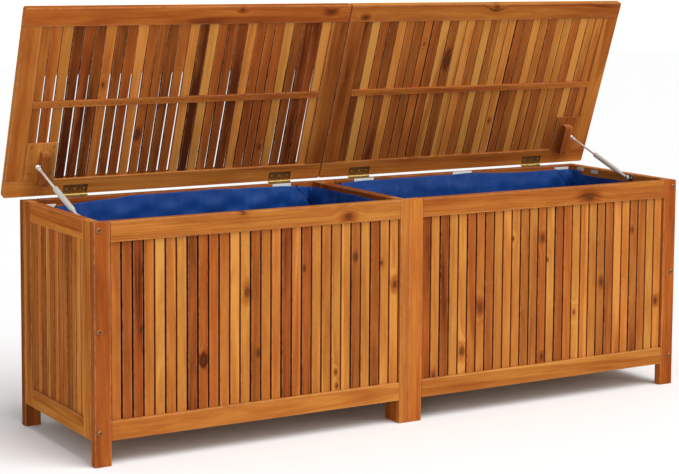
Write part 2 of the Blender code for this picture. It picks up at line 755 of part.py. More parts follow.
def main():
    """Build the whole box with its lids open."""
    clear_scene()
    wood = make_material("oiled_hardwood_frame", (0.36, 0.155, 0.052), 0.42)
    slat_wood = make_material("oiled_hardwood_slats", (0.42, 0.19, 0.062), 0.42)
    floor_wood = make_material("floor_boards", (0.33, 0.17, 0.075), 0.6)
    cloth = make_material("blue_coated_cloth", (0.012, 0.045, 0.26), 0.4)
    brass = make_material("brass", (0.72, 0.52, 0.2), 0.3, 1.0)
    grey = make_material("pale_grey_paint", (0.66, 0.66, 0.63), 0.35, 0.3)
    steel = make_material("bright_steel", (0.62, 0.6, 0.58), 0.22, 1.0)

    carcass = add_empty("carcass_origin", -ORIGIN)
    for side in ("front", "rear"):
        build_long_side(side, wood, slat_wood, carcass)
    for side in ("left", "right"):
        build_end(side, wood, slat_wood, carcass)
    build_divider(wood, slat_wood, carcass)
    for bay, (low, high) in bay_limits().items():
        build_floor(bay, low, high, floor_wood, carcass)
        build_liner(bay, low, high, cloth, carcass)
    cut_rear_rails(HINGE_LENGTH, wood, carcass)

    for side, (low, high, outward) in lid_limits().items():
        hinge_line = (0.0, HINGE_AXIS_Y, HINGE_AXIS_Z)
        fixed_axis = add_empty(f"{side}_hinge_line", hinge_line, 0.0, carcass)
        lid_axis = add_empty(f"{side}_lid_axis", hinge_line, -LID_OPEN_ANGLE, carcass)
        name = f"{side}_lid"
        build_lid(name, low, high, outward, wood, slat_wood, lid_axis)
        build_strut_mount(name, outward, wood, lid_axis)
        for place, centre in hinge_centres(outward).items():
            smooth(hinge_leaf(f"{side}_{place}_hinge_box_leaf", centre, True, brass, fixed_axis))
            smooth(hinge_leaf(f"{side}_{place}_hinge_lid_leaf", centre, False, brass, lid_axis))
        build_strut(side, outward, grey, steel, carcass)


main()
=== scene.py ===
import logging
import math
from dataclasses import dataclass, field
from enum import Enum
from typing import Optional, Sequence

import bpy
import numpy as np
from mathutils import Matrix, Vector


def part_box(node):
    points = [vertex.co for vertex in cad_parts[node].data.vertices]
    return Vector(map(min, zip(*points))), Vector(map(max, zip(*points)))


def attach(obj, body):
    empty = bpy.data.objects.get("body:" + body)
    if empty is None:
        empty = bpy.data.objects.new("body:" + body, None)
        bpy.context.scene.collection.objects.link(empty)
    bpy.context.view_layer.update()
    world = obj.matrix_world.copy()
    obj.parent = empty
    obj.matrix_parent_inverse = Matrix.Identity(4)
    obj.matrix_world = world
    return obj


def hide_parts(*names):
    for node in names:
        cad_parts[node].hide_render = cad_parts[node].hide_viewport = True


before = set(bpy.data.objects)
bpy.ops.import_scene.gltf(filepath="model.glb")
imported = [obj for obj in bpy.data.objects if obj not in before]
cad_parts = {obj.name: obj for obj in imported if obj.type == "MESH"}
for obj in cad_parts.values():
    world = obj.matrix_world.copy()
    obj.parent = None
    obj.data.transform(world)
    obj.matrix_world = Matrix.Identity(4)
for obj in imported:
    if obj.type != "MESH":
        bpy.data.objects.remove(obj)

LOG = logging.getLogger("deck_storage_box")
TAU = 2.0 * math.pi
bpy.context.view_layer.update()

# The lids' hinge axis and how far they stand open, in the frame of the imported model
HINGE_AXIS = np.array([0.0, 0.212115, 0.551])
LID_OPEN_ANGLE = math.radians(70.3)

Span = tuple[np.ndarray, np.ndarray]
Colour = tuple[float, float, float]
Knot = tuple[float, float, float]
Knots = tuple[Knot, ...]


class Axis(Enum):
    """The three directions of a datum."""

    ALONG = 0
    BACK = 1
    UP = 2


class Tone(Enum):
    """How dark a board is, from pale sapwood to dark heartwood."""

    HONEY = 0.06
    AMBER = 0.30
    CHESTNUT = 0.54
    DARK = 0.74
    WALNUT = 0.96


# A slat's tone strays from its letter's by up to TONE_SPREAD, and an even field draws to MIDDLE_TONE
MIDDLE_TONE = 0.35
TONE_SPREAD = 0.07
# A shoulder is a widening of the slats: half its length as a share of the slat, and the gap it leaves
SHOULDER_HALF = 0.012
SHOULDER_GAP = 0.0018
WALL_SLAT_GAP = 0.0040
SLAT_TONGUE = 0.0065
TONE_LETTERS = {"H": Tone.HONEY, "A": Tone.AMBER, "C": Tone.CHESTNUT, "D": Tone.DARK, "W": Tone.WALNUT}


class Opening(Enum):
    """How wide a gap between two slats stands, as a share of the field's usual gap."""

    WIDE = 1.28
    FAIR = 0.92
    TIGHT = 0.62


OPENING_LETTERS = {"w": Opening.WIDE, "f": Opening.FAIR, "t": Opening.TIGHT}


class Hand(Enum):
    """Which end of the box a part belongs to, as the sign of its outward direction."""

    LEFT = -1
    RIGHT = 1

    @property
    def word(self) -> str:
        """The name that the frame uses for this end."""
        return self.name.lower()


@dataclass(frozen=True)
class Datum:
    """A place to measure from: an origin and three unit directions, one to a row."""

    origin: np.ndarray
    directions: np.ndarray

    def world(self, points: np.ndarray) -> np.ndarray:
        """Points of this datum as points of the frame: origin plus each share of the directions."""
        return self.origin + points @ self.directions

    def turned(self, normals: np.ndarray) -> np.ndarray:
        """Directions of this datum as directions of the frame."""
        return normals @ self.directions

    def extent(self, node: str) -> Span:
        """Lowest and highest corner of a frame node, measured in this datum.

        Args:
            node: Name of the node.

        Returns:
            Two points of this datum.
        """
        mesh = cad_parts[node].data
        points = np.zeros(len(mesh.vertices) * 3)
        mesh.vertices.foreach_get("co", points)
        local = (points.reshape(-1, 3) - self.origin) @ self.directions.T
        return local.min(0), local.max(0)

    @property
    def handedness(self) -> int:
        """Plus one where the directions make a right-handed set, else minus one."""
        return 1 if np.linalg.det(self.directions) > 0 else -1


FLOOR_DATUM = Datum(np.zeros(3), np.eye(3))
LID_DATUM = Datum(
    HINGE_AXIS,
    np.array([
        [1.0, 0.0, 0.0],
        [0.0, -math.cos(LID_OPEN_ANGLE), math.sin(LID_OPEN_ANGLE)],
        [0.0, math.sin(LID_OPEN_ANGLE), math.cos(LID_OPEN_ANGLE)],
    ]),
)


@dataclass
class Surface:
    """A mesh in the making: points, outward normals, faces and the values that finishes read."""

    points: np.ndarray
    normals: np.ndarray
    faces: list[list[int]]
    values: dict[str, np.ndarray] = field(default_factory=dict)

    @staticmethod
    def joined(parts: Sequence["Surface"]) -> "Surface":
        """Several surfaces as one, their faces renumbered one after another."""
        faces: list[list[int]] = []
        start = 0
        for part in parts:
            faces.extend([[corner + start for corner in face] for face in part.faces])
            start += len(part.points)
        values = {key: np.concatenate([part.values[key] for part in parts]) for key in parts[0].values}
        return Surface(
            np.concatenate([part.points for part in parts]),
            np.concatenate([part.normals for part in parts]),
            faces,
            values,
        )


def make_piece(name: str, surface: Surface, material: bpy.types.Material, body: str,
               stands_for: Sequence[str] = ()) -> bpy.types.Object:
    """Put a surface into an object that rides on a body of the frame.

    Args:
        name: Name of the new object.
        surface: Its mesh, in the frame.
        material: Its finish.
        body: Body that it moves with.
        stands_for: Frame nodes that it replaces.

    Returns:
        The object, at the origin.
    """
    mesh = bpy.data.meshes.new(name)
    mesh.from_pydata(surface.points.tolist(), [], surface.faces)
    mesh.shade_smooth()
    for key, values in surface.values.items():
        if values.ndim == 2:
            mesh.attributes.new(key, "FLOAT_VECTOR", "POINT").data.foreach_set("vector", values.ravel())
        else:
            mesh.attributes.new(key, "FLOAT", "POINT").data.foreach_set("value", values)
    mesh.normals_split_custom_set_from_vertices(surface.normals.tolist())
    mesh.materials.append(material)
    piece = bpy.data.objects.new(name, mesh)
    bpy.context.scene.collection.objects.link(piece)
    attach(piece, body)
    if stands_for:
        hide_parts(*stands_for)
    LOG.info("%s: %d faces on %s", name, len(surface.faces), body)
    return piece


# Wood: boards with rounded edges whose grain runs true to each board

ARC = np.radians([0.0, 0.0, 45.0, 90.0, 90.0])
SECTION_TURN = np.concatenate([ARC, ARC[::-1], ARC, ARC[::-1]])
SECTION_ACROSS = np.repeat([1.0, -1.0, -1.0, 1.0], 5)
SECTION_DEPTH = np.repeat([1.0, 1.0, -1.0, -1.0], 5)
SIDE_BAND = np.array([1.0, 0.0, 0.0, 0.0, 0.0])
SECTION_SIDE_BAND = np.concatenate([SIDE_BAND, SIDE_BAND[::-1], SIDE_BAND, SIDE_BAND[::-1]])
SECTION_FACE_BAND = np.concatenate([SIDE_BAND[::-1], SIDE_BAND, SIDE_BAND[::-1], SIDE_BAND])
# Rounded edges are lightened, partly as rubbed wood and partly as a painted highlight where the edges catch
# the light.
SECTION_WEAR_AND_HIGHLIGHT = np.tile([0.0, 0.45, 1.0, 0.45, 0.0], 4)
# Painted shade: a board's sides, and the rounded edges next to them, are darkened through its tone where the
# gaps between slats lie in shade.
SIDE_GAP_SHADE = np.array([1.0, 1.0, 0.25, 0.0, 0.0])
SECTION_GAP_SHADE = np.concatenate([SIDE_GAP_SHADE, SIDE_GAP_SHADE[::-1], SIDE_GAP_SHADE, SIDE_GAP_SHADE[::-1]])
NO_KNOT: Knot = (1.0e3, 1.0e3, 1.0)
# Turns at which sections stand on a board's rounded ends and rounded corners
END_TURN = np.array([0.12, 0.5, 1.0]) * math.pi / 2
CORNER_TURN = np.radians([20.0, 40.0, 60.0, 78.0, 90.0])
INNER_SHARES = np.linspace(0.0, 1.0, 6)[1:-1]
# Board ends are lightened, partly as wear and partly as a painted highlight.
END_WEAR_AND_HIGHLIGHT = 0.8


@dataclass
class Board:
    """One sawn board between two corners of a datum.

    Its section is a rectangle with rounded edges. The section is carried along the run, and
    shrinks to a smaller one at both ends, so that the ends are rounded over too. From a shoulder
    on, each edge stands further out by its closing.
    """

    low: Sequence[float]
    high: Sequence[float]
    run: Axis
    across: Axis
    tone: float
    seed: int
    edge: float = 0.0018
    band: float = 0.0025
    corner_radii: tuple[float, float, float, float] = (0.0, 0.0, 0.0, 0.0)
    taper: float = 0.0
    sway: float = 0.0
    twist: float = 0.0
    knots: Knots = ()
    pith: Optional[tuple[float, float]] = None
    # Painted shade: how much darker the board's first half is, the hinge half of a lid slat.
    darker_start: float = 0.0
    # Painted shade: how much darker the sides are, as shade in the gaps between slats.
    grime: float = 0.0
    shoulder: float = 0.0
    closing: tuple[float, float] = (0.0, 0.0)

    def stations(self, length: float) -> tuple[np.ndarray, np.ndarray]:
        """Where the sections stand along the run, and how far each is round the end's curve.

        The curve's place is edge times one less the cosine of the turn; the turn is a quarter
        circle where the sides begin.
        """
        ends = self.edge * (1.0 - np.cos(END_TURN))
        ends[0] = 0.0
        inner = INNER_SHARES * length
        if self.shoulder > 0.0:
            rise = (self.shoulder + SHOULDER_HALF * np.linspace(-1.0, 1.0, 5)) * length
            inner = np.sort(np.concatenate([inner, rise]))
        largest = max(self.corner_radii)
        if largest > 0.0:
            curve = largest * (1.0 - np.cos(CORNER_TURN))
            curve = curve[curve > ends[-1]]
            inner = np.concatenate([curve, inner[(inner > largest) & (inner < length - largest)],
                                    (length - curve)[::-1]])
        along = np.concatenate([ends, inner, (length - ends)[::-1]])
        turns = np.concatenate([END_TURN, np.full(len(inner), math.pi / 2), END_TURN[::-1]])
        return along, turns

    def plan_cut(self, distance: np.ndarray, radius: float) -> np.ndarray:
        """How much a rounded corner takes off: radius less the circle's height at that distance."""
        if radius <= 0.0:
            return np.zeros_like(distance)
        inside = np.clip(radius - distance, 0.0, radius)
        return radius - np.sqrt(radius**2 - inside**2)

    def surface(self, datum: Datum) -> Surface:
        """The board as a closed surface with its grain, tone, knots, and edge wear lightened further as a
        painted highlight.

        Args:
            datum: What the corners are measured from.

        Returns:
            The surface, in the frame.
        """
        order = [self.run.value, self.across.value]
        order.append(3 - sum(order))
        low = np.array(self.low, float)[order]
        size = np.array(self.high, float)[order] - low
        rng = np.random.default_rng(self.seed)
        along, turns = self.stations(size[0])
        inset = self.edge * (1.0 - np.sin(turns))
        radius = self.edge - inset
        share = along / size[0]
        sway = self.sway * np.sin(math.pi * share * rng.uniform(0.8, 1.6) + rng.uniform(0.0, TAU))
        sway[:len(END_TURN)] = sway[-len(END_TURN):] = 0.0
        radii = self.corner_radii
        cut_low = self.plan_cut(along, radii[0]) + self.plan_cut(size[0] - along, radii[2])
        cut_high = self.plan_cut(along, radii[1]) + self.plan_cut(size[0] - along, radii[3])
        spread = self.taper * (share - 0.5)
        low_edge = cut_low + inset + sway - spread
        high_edge = size[1] - cut_high - inset + sway + spread
        if self.shoulder > 0.0:
            step = smooth_step((share - self.shoulder) / SHOULDER_HALF * 0.5 + 0.5)
            low_edge = low_edge - self.closing[0] * step
            high_edge = high_edge + self.closing[1] * step

        arc_across = radius[:, None] * (1.0 - np.cos(SECTION_TURN))
        arc_depth = radius[:, None] * (1.0 - np.sin(SECTION_TURN))
        across_edge = np.where(SECTION_ACROSS > 0, high_edge[:, None], low_edge[:, None])
        depth_edge = np.where(SECTION_DEPTH > 0, size[2] - inset[:, None], inset[:, None])
        across = across_edge - SECTION_ACROSS * (arc_across + self.band * SECTION_FACE_BAND)
        depth = depth_edge - SECTION_DEPTH * (arc_depth + self.band * SECTION_SIDE_BAND)
        depth = depth + self.twist * (across - size[1] / 2)
        local = np.stack([np.broadcast_to(along[:, None], across.shape), across, depth], axis=2)

        ending = np.where(share < 0.5, -1.0, 1.0)
        face_share = np.sin(turns)[:, None]
        side = SECTION_ACROSS * np.cos(SECTION_TURN)
        flat = SECTION_DEPTH * np.sin(SECTION_TURN)
        normals = np.stack([
            np.broadcast_to((ending * np.cos(turns))[:, None], across.shape),
            side * face_share - self.twist * flat,
            flat * face_share,
        ], axis=2)
        normals[[0, -1]] = np.stack([ending[[0, -1]], np.zeros(2), np.zeros(2)], axis=1)[:, None, :]
        self.lean_at_corners(normals, along, size[0])
        normals /= np.linalg.norm(normals, axis=2, keepdims=True)

        points = local.reshape(-1, 3)
        placed = np.zeros_like(points)
        turned = np.zeros_like(points)
        placed[:, order] = points + low
        turned[:, order] = normals.reshape(-1, 3)
        parity = 1 if order in ([0, 1, 2], [1, 2, 0], [2, 0, 1]) else -1
        count = len(SECTION_TURN)
        flip = parity * datum.handedness < 0
        faces = ring_faces(len(along), count, flip) + end_faces(len(along), count, flip)
        values = self.grain_values(points, size, rng)
        # Rounded edges and ends carry the wear value, part real wear and part painted highlight.
        values["wear"] = np.tile(SECTION_WEAR_AND_HIGHLIGHT, len(along))
        values["wear"][:count] = values["wear"][-count:] = END_WEAR_AND_HIGHLIGHT
        # Painted shade on the sides, which face the gaps between slats.
        values["tone"] = values["tone"] + self.grime * np.tile(SECTION_GAP_SHADE, len(along))
        return Surface(datum.world(placed), datum.turned(turned), faces, values)

    def lean_at_corners(self, normals: np.ndarray, along: np.ndarray, length: float) -> None:
        """Turn the normals of the sides outwards along the run where a corner is rounded."""
        corners = ((0, 0, -1.0, along), (1, 0, 1.0, along), (2, 1, -1.0, length - along),
                   (3, 1, 1.0, length - along))
        for number, ending, sign, distance in corners:
            radius = self.corner_radii[number]
            if radius <= 0.0:
                continue
            lean = np.clip(1.0 - distance / radius, 0.0, 0.98)
            mask = (SECTION_ACROSS == sign) & (np.cos(SECTION_TURN) > 0.1)
            across = normals[:, mask, 1]
            normals[:, mask, 0] += (1.0 if ending else -1.0) * np.abs(across) * lean[:, None]
            normals[:, mask, 1] = across * np.sqrt(1.0 - lean**2)[:, None]

    def grain_values(self, points: np.ndarray, size: np.ndarray, rng: np.random.Generator) -> dict:
        """Grain, tone and knot values of the board's points.

        The grain is the distance along the board and the offset from the tree's pith, which
        runs beside the board at a small slope. Knots are offsets from a knot in knot radii.

        Args:
            points: Points of the board, from its low corner.
            size: Length, width and thickness.
            rng: The board's own source of chance.

        Returns:
            Values by attribute name.
        """
        pith = self.pith or (rng.uniform(-0.3, 1.3) * size[1], rng.choice([-1, 1]) * rng.uniform(0.012, 0.05))
        slope = rng.uniform(-0.022, 0.022, 2)
        grain = np.stack([
            points[:, 0] + rng.uniform(0.0, 30.0),
            points[:, 1] - pith[0] + slope[0] * (points[:, 0] - size[0] / 2),
            points[:, 2] - pith[1] + slope[1] * (points[:, 0] - size[0] / 2),
        ], axis=1)
        # Painted shade: the tone darkens over the board's first half.
        fade = np.clip((0.56 - points[:, 0] / size[0]) / 0.10, 0.0, 1.0)
        values = {"grain": grain, "tone": self.tone + self.darker_start * fade,
                  "redness": np.full(len(points), rng.uniform(0.0, 1.0))}
        for number in range(2):
            place = self.knots[number] if number < len(self.knots) else NO_KNOT
            offset = points[:, :2] - np.array(place[:2])
            stretch = np.array([1.5, 0.9]) * place[2]
            values[f"knot_{number}"] = np.concatenate([offset / stretch, np.zeros((len(points), 1))], axis=1)
        return values


def smooth_step(share: np.ndarray) -> np.ndarray:
    """Three squares less two cubes of a share that is held between nought and one."""
    held = np.clip(share, 0.0, 1.0)
    return held**2 * (3.0 - 2.0 * held)


def ring_faces(rings: int, count: int, flip: bool = False) -> list[list[int]]:
    """Four-cornered faces between neighbouring rings of points, each joined to its own start.

    Args:
        rings: Number of rings.
        count: Points in a ring.
        flip: Whether to turn the faces over.

    Returns:
        The faces as corner numbers.
    """
    ring = np.arange(rings - 1)[:, None] * count
    step = np.arange(count)[None, :]
    following = (step + 1) % count
    quads = np.stack([ring + step, ring + following, ring + count + following, ring + count + step], axis=2)
    if flip:
        quads = quads[:, :, ::-1]
    return quads.reshape(-1, 4).tolist()


def end_faces(rings: int, count: int, flip: bool = False) -> list[list[int]]:
    """The first and the last ring as the faces that close the ends."""
    first, last = list(range(count)), list(range((rings - 1) * count, rings * count))
    return [first, last[::-1]] if flip else [first[::-1], last]


# Node benches: materials laid out in a maker's plain steps

class Bench:
    """Lays out one material's nodes around its main shader."""

    def __init__(self, name: str) -> None:
        """Start a material with only its shader and output."""
        self.material = bpy.data.materials.new(name)
        self.material.use_nodes = True
        self.nodes = self.material.node_tree.nodes
        self.links = self.material.node_tree.links
        self.shader = self.nodes["Principled BSDF"]

    def plug(self, socket: bpy.types.NodeSocket, value: object) -> None:
        """Link a socket to a value's socket, or set it where the value is plain."""
        if isinstance(value, bpy.types.NodeSocket):
            self.links.new(value, socket)
        else:
            socket.default_value = value

    def add(self, kind: str, plugs: dict, **settings: object) -> bpy.types.Node:
        """Add a node, set its options and plug its inputs.

        Args:
            kind: Node type without its common prefix.
            plugs: Inputs by name or number.
            **settings: Options of the node.

        Returns:
            The node.
        """
        node = self.nodes.new("ShaderNode" + kind)
        for key, value in settings.items():
            setattr(node, key, value)
        for key, value in plugs.items():
            self.plug(node.inputs[key], value)
        return node

    def number(self, operation: str, *values: object, clamp: bool = False) -> bpy.types.NodeSocket:
        """A sum, product or other operation on numbers."""
        node = self.add("Math", dict(enumerate(values)), operation=operation, use_clamp=clamp)
        return node.outputs[0]

    def vector(self, operation: str, *values: object, out: str = "Vector") -> bpy.types.NodeSocket:
        """An operation on vectors, or the length of one."""
        plugs = {("Scale" if operation == "SCALE" and i == 1 else i): v for i, v in enumerate(values)}
        return self.add("VectorMath", plugs, operation=operation).outputs[out]

    def noise(self, place: object, scale: float, detail: float = 2.0,
              roughness: float = 0.5) -> bpy.types.Node:
        """Fractal noise at a place."""
        plugs = {"Vector": place, "Scale": scale, "Detail": detail, "Roughness": roughness}
        return self.add("TexNoise", plugs)

    def attribute(self, name: str) -> bpy.types.Node:
        """The values that a surface carries under a name."""
        return self.add("Attribute", {}, attribute_name=name)

    def span(self, value: object, low: float, high: float, first: float = 0.0,
             last: float = 1.0, smooth: bool = False) -> bpy.types.NodeSocket:
        """A value's range carried over to another range, held at both ends."""
        plugs = {"Value": value, "From Min": low, "From Max": high, "To Min": first, "To Max": last}
        kind = "SMOOTHSTEP" if smooth else "LINEAR"
        return self.add("MapRange", plugs, interpolation_type=kind).outputs[0]

    def mix(self, share: object, first: object, second: object, mode: str = "MIX") -> bpy.types.NodeSocket:
        """Two colours mixed."""
        node = self.add("Mix", {}, data_type="RGBA", blend_type=mode, clamp_result=False)
        for key, value in ((0, share), (6, first), (7, second)):
            if key and isinstance(value, tuple):
                value = (*value, 1.0)
            self.plug(node.inputs[key], value)
        return node.outputs[2]

    def ramp(self, value: object, stops: Sequence[tuple[float, Colour]]) -> bpy.types.NodeSocket:
        """A colour looked up between stops."""
        node = self.add("ValToRGB", {0: value})
        elements = node.color_ramp.elements
        while len(elements) < len(stops):
            elements.new(0.5)
        for element, (place, colour) in zip(elements, stops):
            element.position = place
            element.color = (*colour, 1.0)
        return node.outputs[0]

    def join(self, x: object, y: object, z: object) -> bpy.types.NodeSocket:
        """Three numbers as a vector."""
        return self.add("CombineXYZ", {0: x, 1: y, 2: z}).outputs[0]

    def bump(self, height: object, strength: float, distance: float) -> None:
        """Raise the surface by a height under the shader."""
        node = self.add("Bump", {"Height": height, "Strength": strength, "Distance": distance})
        self.plug(self.shader.inputs["Normal"], node.outputs[0])

    def finish(self, **values: object) -> bpy.types.Material:
        """Plug the shader's own sockets, whose spaces are written as underscores.

        Args:
            **values: Value or socket by socket name.

        Returns:
            The material.
        """
        for key, value in values.items():
            if isinstance(value, tuple) and len(value) == 3:
                value = (*value, 1.0)
            self.plug(self.shader.inputs[key.replace("_", " ")], value)
        return self.material


@dataclass(frozen=True)
class OiledHardwood:
    """Oiled hardwood: tone-stained growth streaks, pores, knots, and rubbed edges lightened further as a
    painted highlight.
    """

    name: str
    stops: tuple[tuple[float, Colour], ...]
    streak: float = 0.34
    fine: float = 0.24
    roughness: float = 0.42
    sheen: float = 0.005
    refraction: float = 1.08
    # How far rounded edges go towards the pale colour: part wear, part painted highlight.
    edge_wear: float = 0.45
    bare: Colour = (0.62, 0.36, 0.19)
    sapwood_start: float = 0.046
    sapwood_pale: float = 0.20
    ring_spacing: float = 0.0048
    ring_share: float = 0.025
    flame_share: float = 0.06
    drift_share: float = 0.11
    heart_share: float = 0.10
    pore_share: float = 0.10
    knot_push: float = 0.012
    knot_halo: float = 0.34

    def material(self) -> bpy.types.Material:
        """Lay the finish out as nodes.

        The distance from the pith, swayed by slow noise and pushed aside by knots, is the ring
        coordinate. Noise that changes fast across the rings and slowly along the board gives the
        streaks, and their sum with the board's tone is looked up in the stain's colours.
        """
        bench = Bench(self.name)
        grain = bench.attribute("grain").outputs["Vector"]
        parts = bench.add("SeparateXYZ", {0: grain}).outputs
        slow = bench.vector("MULTIPLY", grain, (2.2, 16.0, 16.0))
        sway = bench.noise(slow, 1.0, 2.0).outputs["Color"]
        sway = bench.vector("MULTIPLY", bench.vector("SUBTRACT", sway, (0.5, 0.5, 0.5)), (0.0, 0.014, 0.014))
        swayed = bench.add("SeparateXYZ", {0: bench.vector("ADD", grain, sway)}).outputs
        reach = bench.vector("LENGTH", bench.join(0.0, swayed[1], swayed[2]), out="Value")

        knots = [bench.vector("LENGTH", bench.attribute(f"knot_{i}").outputs["Vector"], out="Value")
                 for i in range(2)]
        knot = bench.number("MINIMUM", *knots)
        rough_knot = bench.noise(bench.vector("SCALE", grain, 240.0), 1.0, 2.0).outputs["Fac"]
        knot = bench.number("MULTIPLY_ADD", rough_knot, 0.5, bench.number("SUBTRACT", knot, 0.25))
        push = bench.number("EXPONENT", bench.number("MULTIPLY", bench.number("MULTIPLY", knot, knot), -0.22))
        rings = bench.number("MULTIPLY_ADD", push, self.knot_push, reach)

        streaks = bench.join(bench.number("MULTIPLY", rings, 75.0),
                             bench.number("MULTIPLY", parts[0], 1.4), 3.1)
        broad = bench.noise(streaks, 1.0, 2.0, 0.55).outputs["Fac"]
        hairs = bench.join(bench.number("MULTIPLY", rings, 480.0),
                           bench.number("MULTIPLY", parts[0], 5.0), 8.7)
        fine = bench.noise(hairs, 1.0, 3.0, 0.6).outputs["Fac"]
        turns = bench.number("MULTIPLY", rings, TAU / self.ring_spacing)
        phase = bench.number("MULTIPLY_ADD", broad, 9.0, turns)
        wave = bench.number("SINE", phase)
        pores = bench.noise(bench.vector("MULTIPLY", grain, (55.0, 1500.0, 1500.0)), 1.0, 1.0).outputs["Fac"]
        pores = bench.span(pores, 0.58, 0.72)
        # Rubbed edges, lightened also as a painted highlight.
        wear = bench.attribute("wear").outputs["Fac"]
        rub_and_highlight = bench.noise(bench.vector("SCALE", grain, 60.0), 1.0, 3.0).outputs["Fac"]
        rub_and_highlight = bench.number("MULTIPLY", wear, bench.span(rub_and_highlight, 0.3, 0.7))

        tone = bench.attribute("tone").outputs["Fac"]
        tone = bench.number("MULTIPLY_ADD", bench.span(broad, 0.25, 0.75, -1.0, 1.0), self.streak / 2, tone)
        tone = bench.number("MULTIPLY_ADD", bench.span(fine, 0.25, 0.75, -1.0, 1.0), self.fine / 2, tone)
        tone = bench.number("MULTIPLY_ADD", wave, self.ring_share, tone)
        flame = bench.noise(bench.vector("MULTIPLY", grain, (13.0, 95.0, 95.0)), 1.0, 3.0, 0.6).outputs["Fac"]
        tone = bench.number("MULTIPLY_ADD", bench.span(flame, 0.3, 0.7, -1.0, 1.0), self.flame_share, tone)
        drift = bench.noise(bench.vector("MULTIPLY", grain, (4.5, 14.0, 14.0)), 1.0, 2.0).outputs["Fac"]
        tone = bench.number("MULTIPLY_ADD", bench.span(drift, 0.3, 0.7, -1.0, 1.0), self.drift_share, tone)
        heart_band = bench.span(broad, 0.60, 0.70, 0.0, 1.0, smooth=True)
        tone = bench.number("MULTIPLY_ADD", heart_band, self.heart_share, tone)
        sapwood = bench.span(rings, self.sapwood_start, self.sapwood_start + 0.003, 0.0, -self.sapwood_pale,
                             smooth=True)
        tone = bench.number("ADD", tone, sapwood)
        tone = bench.number("MULTIPLY_ADD", pores, self.pore_share, tone)
        halo = bench.span(knot, 0.9, 2.8, self.knot_halo, 0.0, smooth=True)
        tone = bench.number("ADD", tone, halo, clamp=True)
        colour = bench.ramp(tone, self.stops)
        redness = bench.attribute("redness").outputs["Fac"]
        tint = bench.ramp(redness, ((0.0, (0.99, 1.03, 1.08)), (1.0, (1.05, 0.90, 0.92))))
        colour = bench.mix(1.0, colour, tint, "MULTIPLY")
        colour = bench.mix(bench.number("MULTIPLY", rub_and_highlight, self.edge_wear), colour, self.bare)
        core = bench.span(knot, 0.45, 1.15, 0.80, 0.0, smooth=True)
        heart = bench.number("SINE", bench.number("MULTIPLY", knot, 15.0))
        heart = bench.number("MULTIPLY_ADD", heart, 0.5, 0.5)
        core_colour = bench.ramp(heart, ((0.0, (0.050, 0.014, 0.005)), (1.0, (0.15, 0.048, 0.014))))
        colour = bench.mix(core, colour, core_colour)
        bench.bump(bench.number("MULTIPLY_ADD", pores, -0.8, fine), 0.16, 0.0006)
        roughness = bench.number("MULTIPLY_ADD", fine, 0.16, self.roughness - 0.08)
        roughness = bench.number("MULTIPLY_ADD", rub_and_highlight, 0.12, roughness)
        return bench.finish(Base_Color=colour, Roughness=roughness, Specular_IOR_Level=self.sheen,
                            IOR=self.refraction)


@dataclass(frozen=True)
class CoatedCloth:
    """Woven cloth with a smooth waterproof face."""

    name: str
    colour: Colour
    shade: Colour
    roughness: float = 0.36

    def material(self) -> bpy.types.Material:
        """Cloudy colour, crushed creases and a faint square weave under the coating."""
        bench = Bench(self.name)
        place = bench.add("TexCoord", {}).outputs["Object"]
        cloud = bench.noise(place, 9.0, 3.0, 0.6).outputs["Fac"]
        crush = bench.noise(place, 42.0, 4.0, 0.65)
        crease = bench.number("ABSOLUTE", bench.number("SUBTRACT", crush.outputs["Fac"], 0.5))
        crease = bench.span(crease, 0.0, 0.09, 1.0, 0.0)
        threads = bench.add("TexChecker", {"Vector": place, "Scale": 900.0}).outputs["Fac"]
        colour = bench.mix(bench.span(cloud, 0.3, 0.7), self.shade, self.colour)
        height = bench.number("MULTIPLY", crush.outputs["Fac"], 1.2)
        height = bench.number("MULTIPLY_ADD", crease, 0.5, height)
        height = bench.number("MULTIPLY_ADD", threads, 0.03, height)
        bench.bump(height, 0.24, 0.0016)
        roughness = bench.number("MULTIPLY_ADD", crease, 0.18, self.roughness)
        return bench.finish(Base_Color=colour, Roughness=roughness, Specular_IOR_Level=0.16)


@dataclass(frozen=True)
class Metal:
    """Bare or plated metal with rubbed patches and a soft brushed face."""

    name: str
    colour: Colour
    tarnish: Colour
    roughness: float
    # Share of tarnish in the cloudy patches.
    grime: float = 0.4
    metallic: float = 1.0
    scale: float = 320.0

    def material(self) -> bpy.types.Material:
        """Tarnish gathers in cloudy patches, which are rougher than the rubbed metal."""
        bench = Bench(self.name)
        place = bench.add("TexCoord", {}).outputs["Object"]
        cloud = bench.span(bench.noise(place, self.scale, 4.0, 0.6).outputs["Fac"], 0.4, 0.65)
        share = bench.number("MULTIPLY", cloud, self.grime)
        scratch = bench.noise(bench.vector("MULTIPLY", place, (60.0, 2600.0, 900.0)), 1.0, 2.0).outputs["Fac"]
        bench.bump(bench.number("MULTIPLY_ADD", cloud, 0.4, scratch), 0.12, 0.0002)
        roughness = bench.number("MULTIPLY_ADD", cloud, 0.2, self.roughness)
        return bench.finish(Base_Color=bench.mix(share, self.colour, self.tarnish), Metallic=self.metallic,
                            Roughness=roughness)


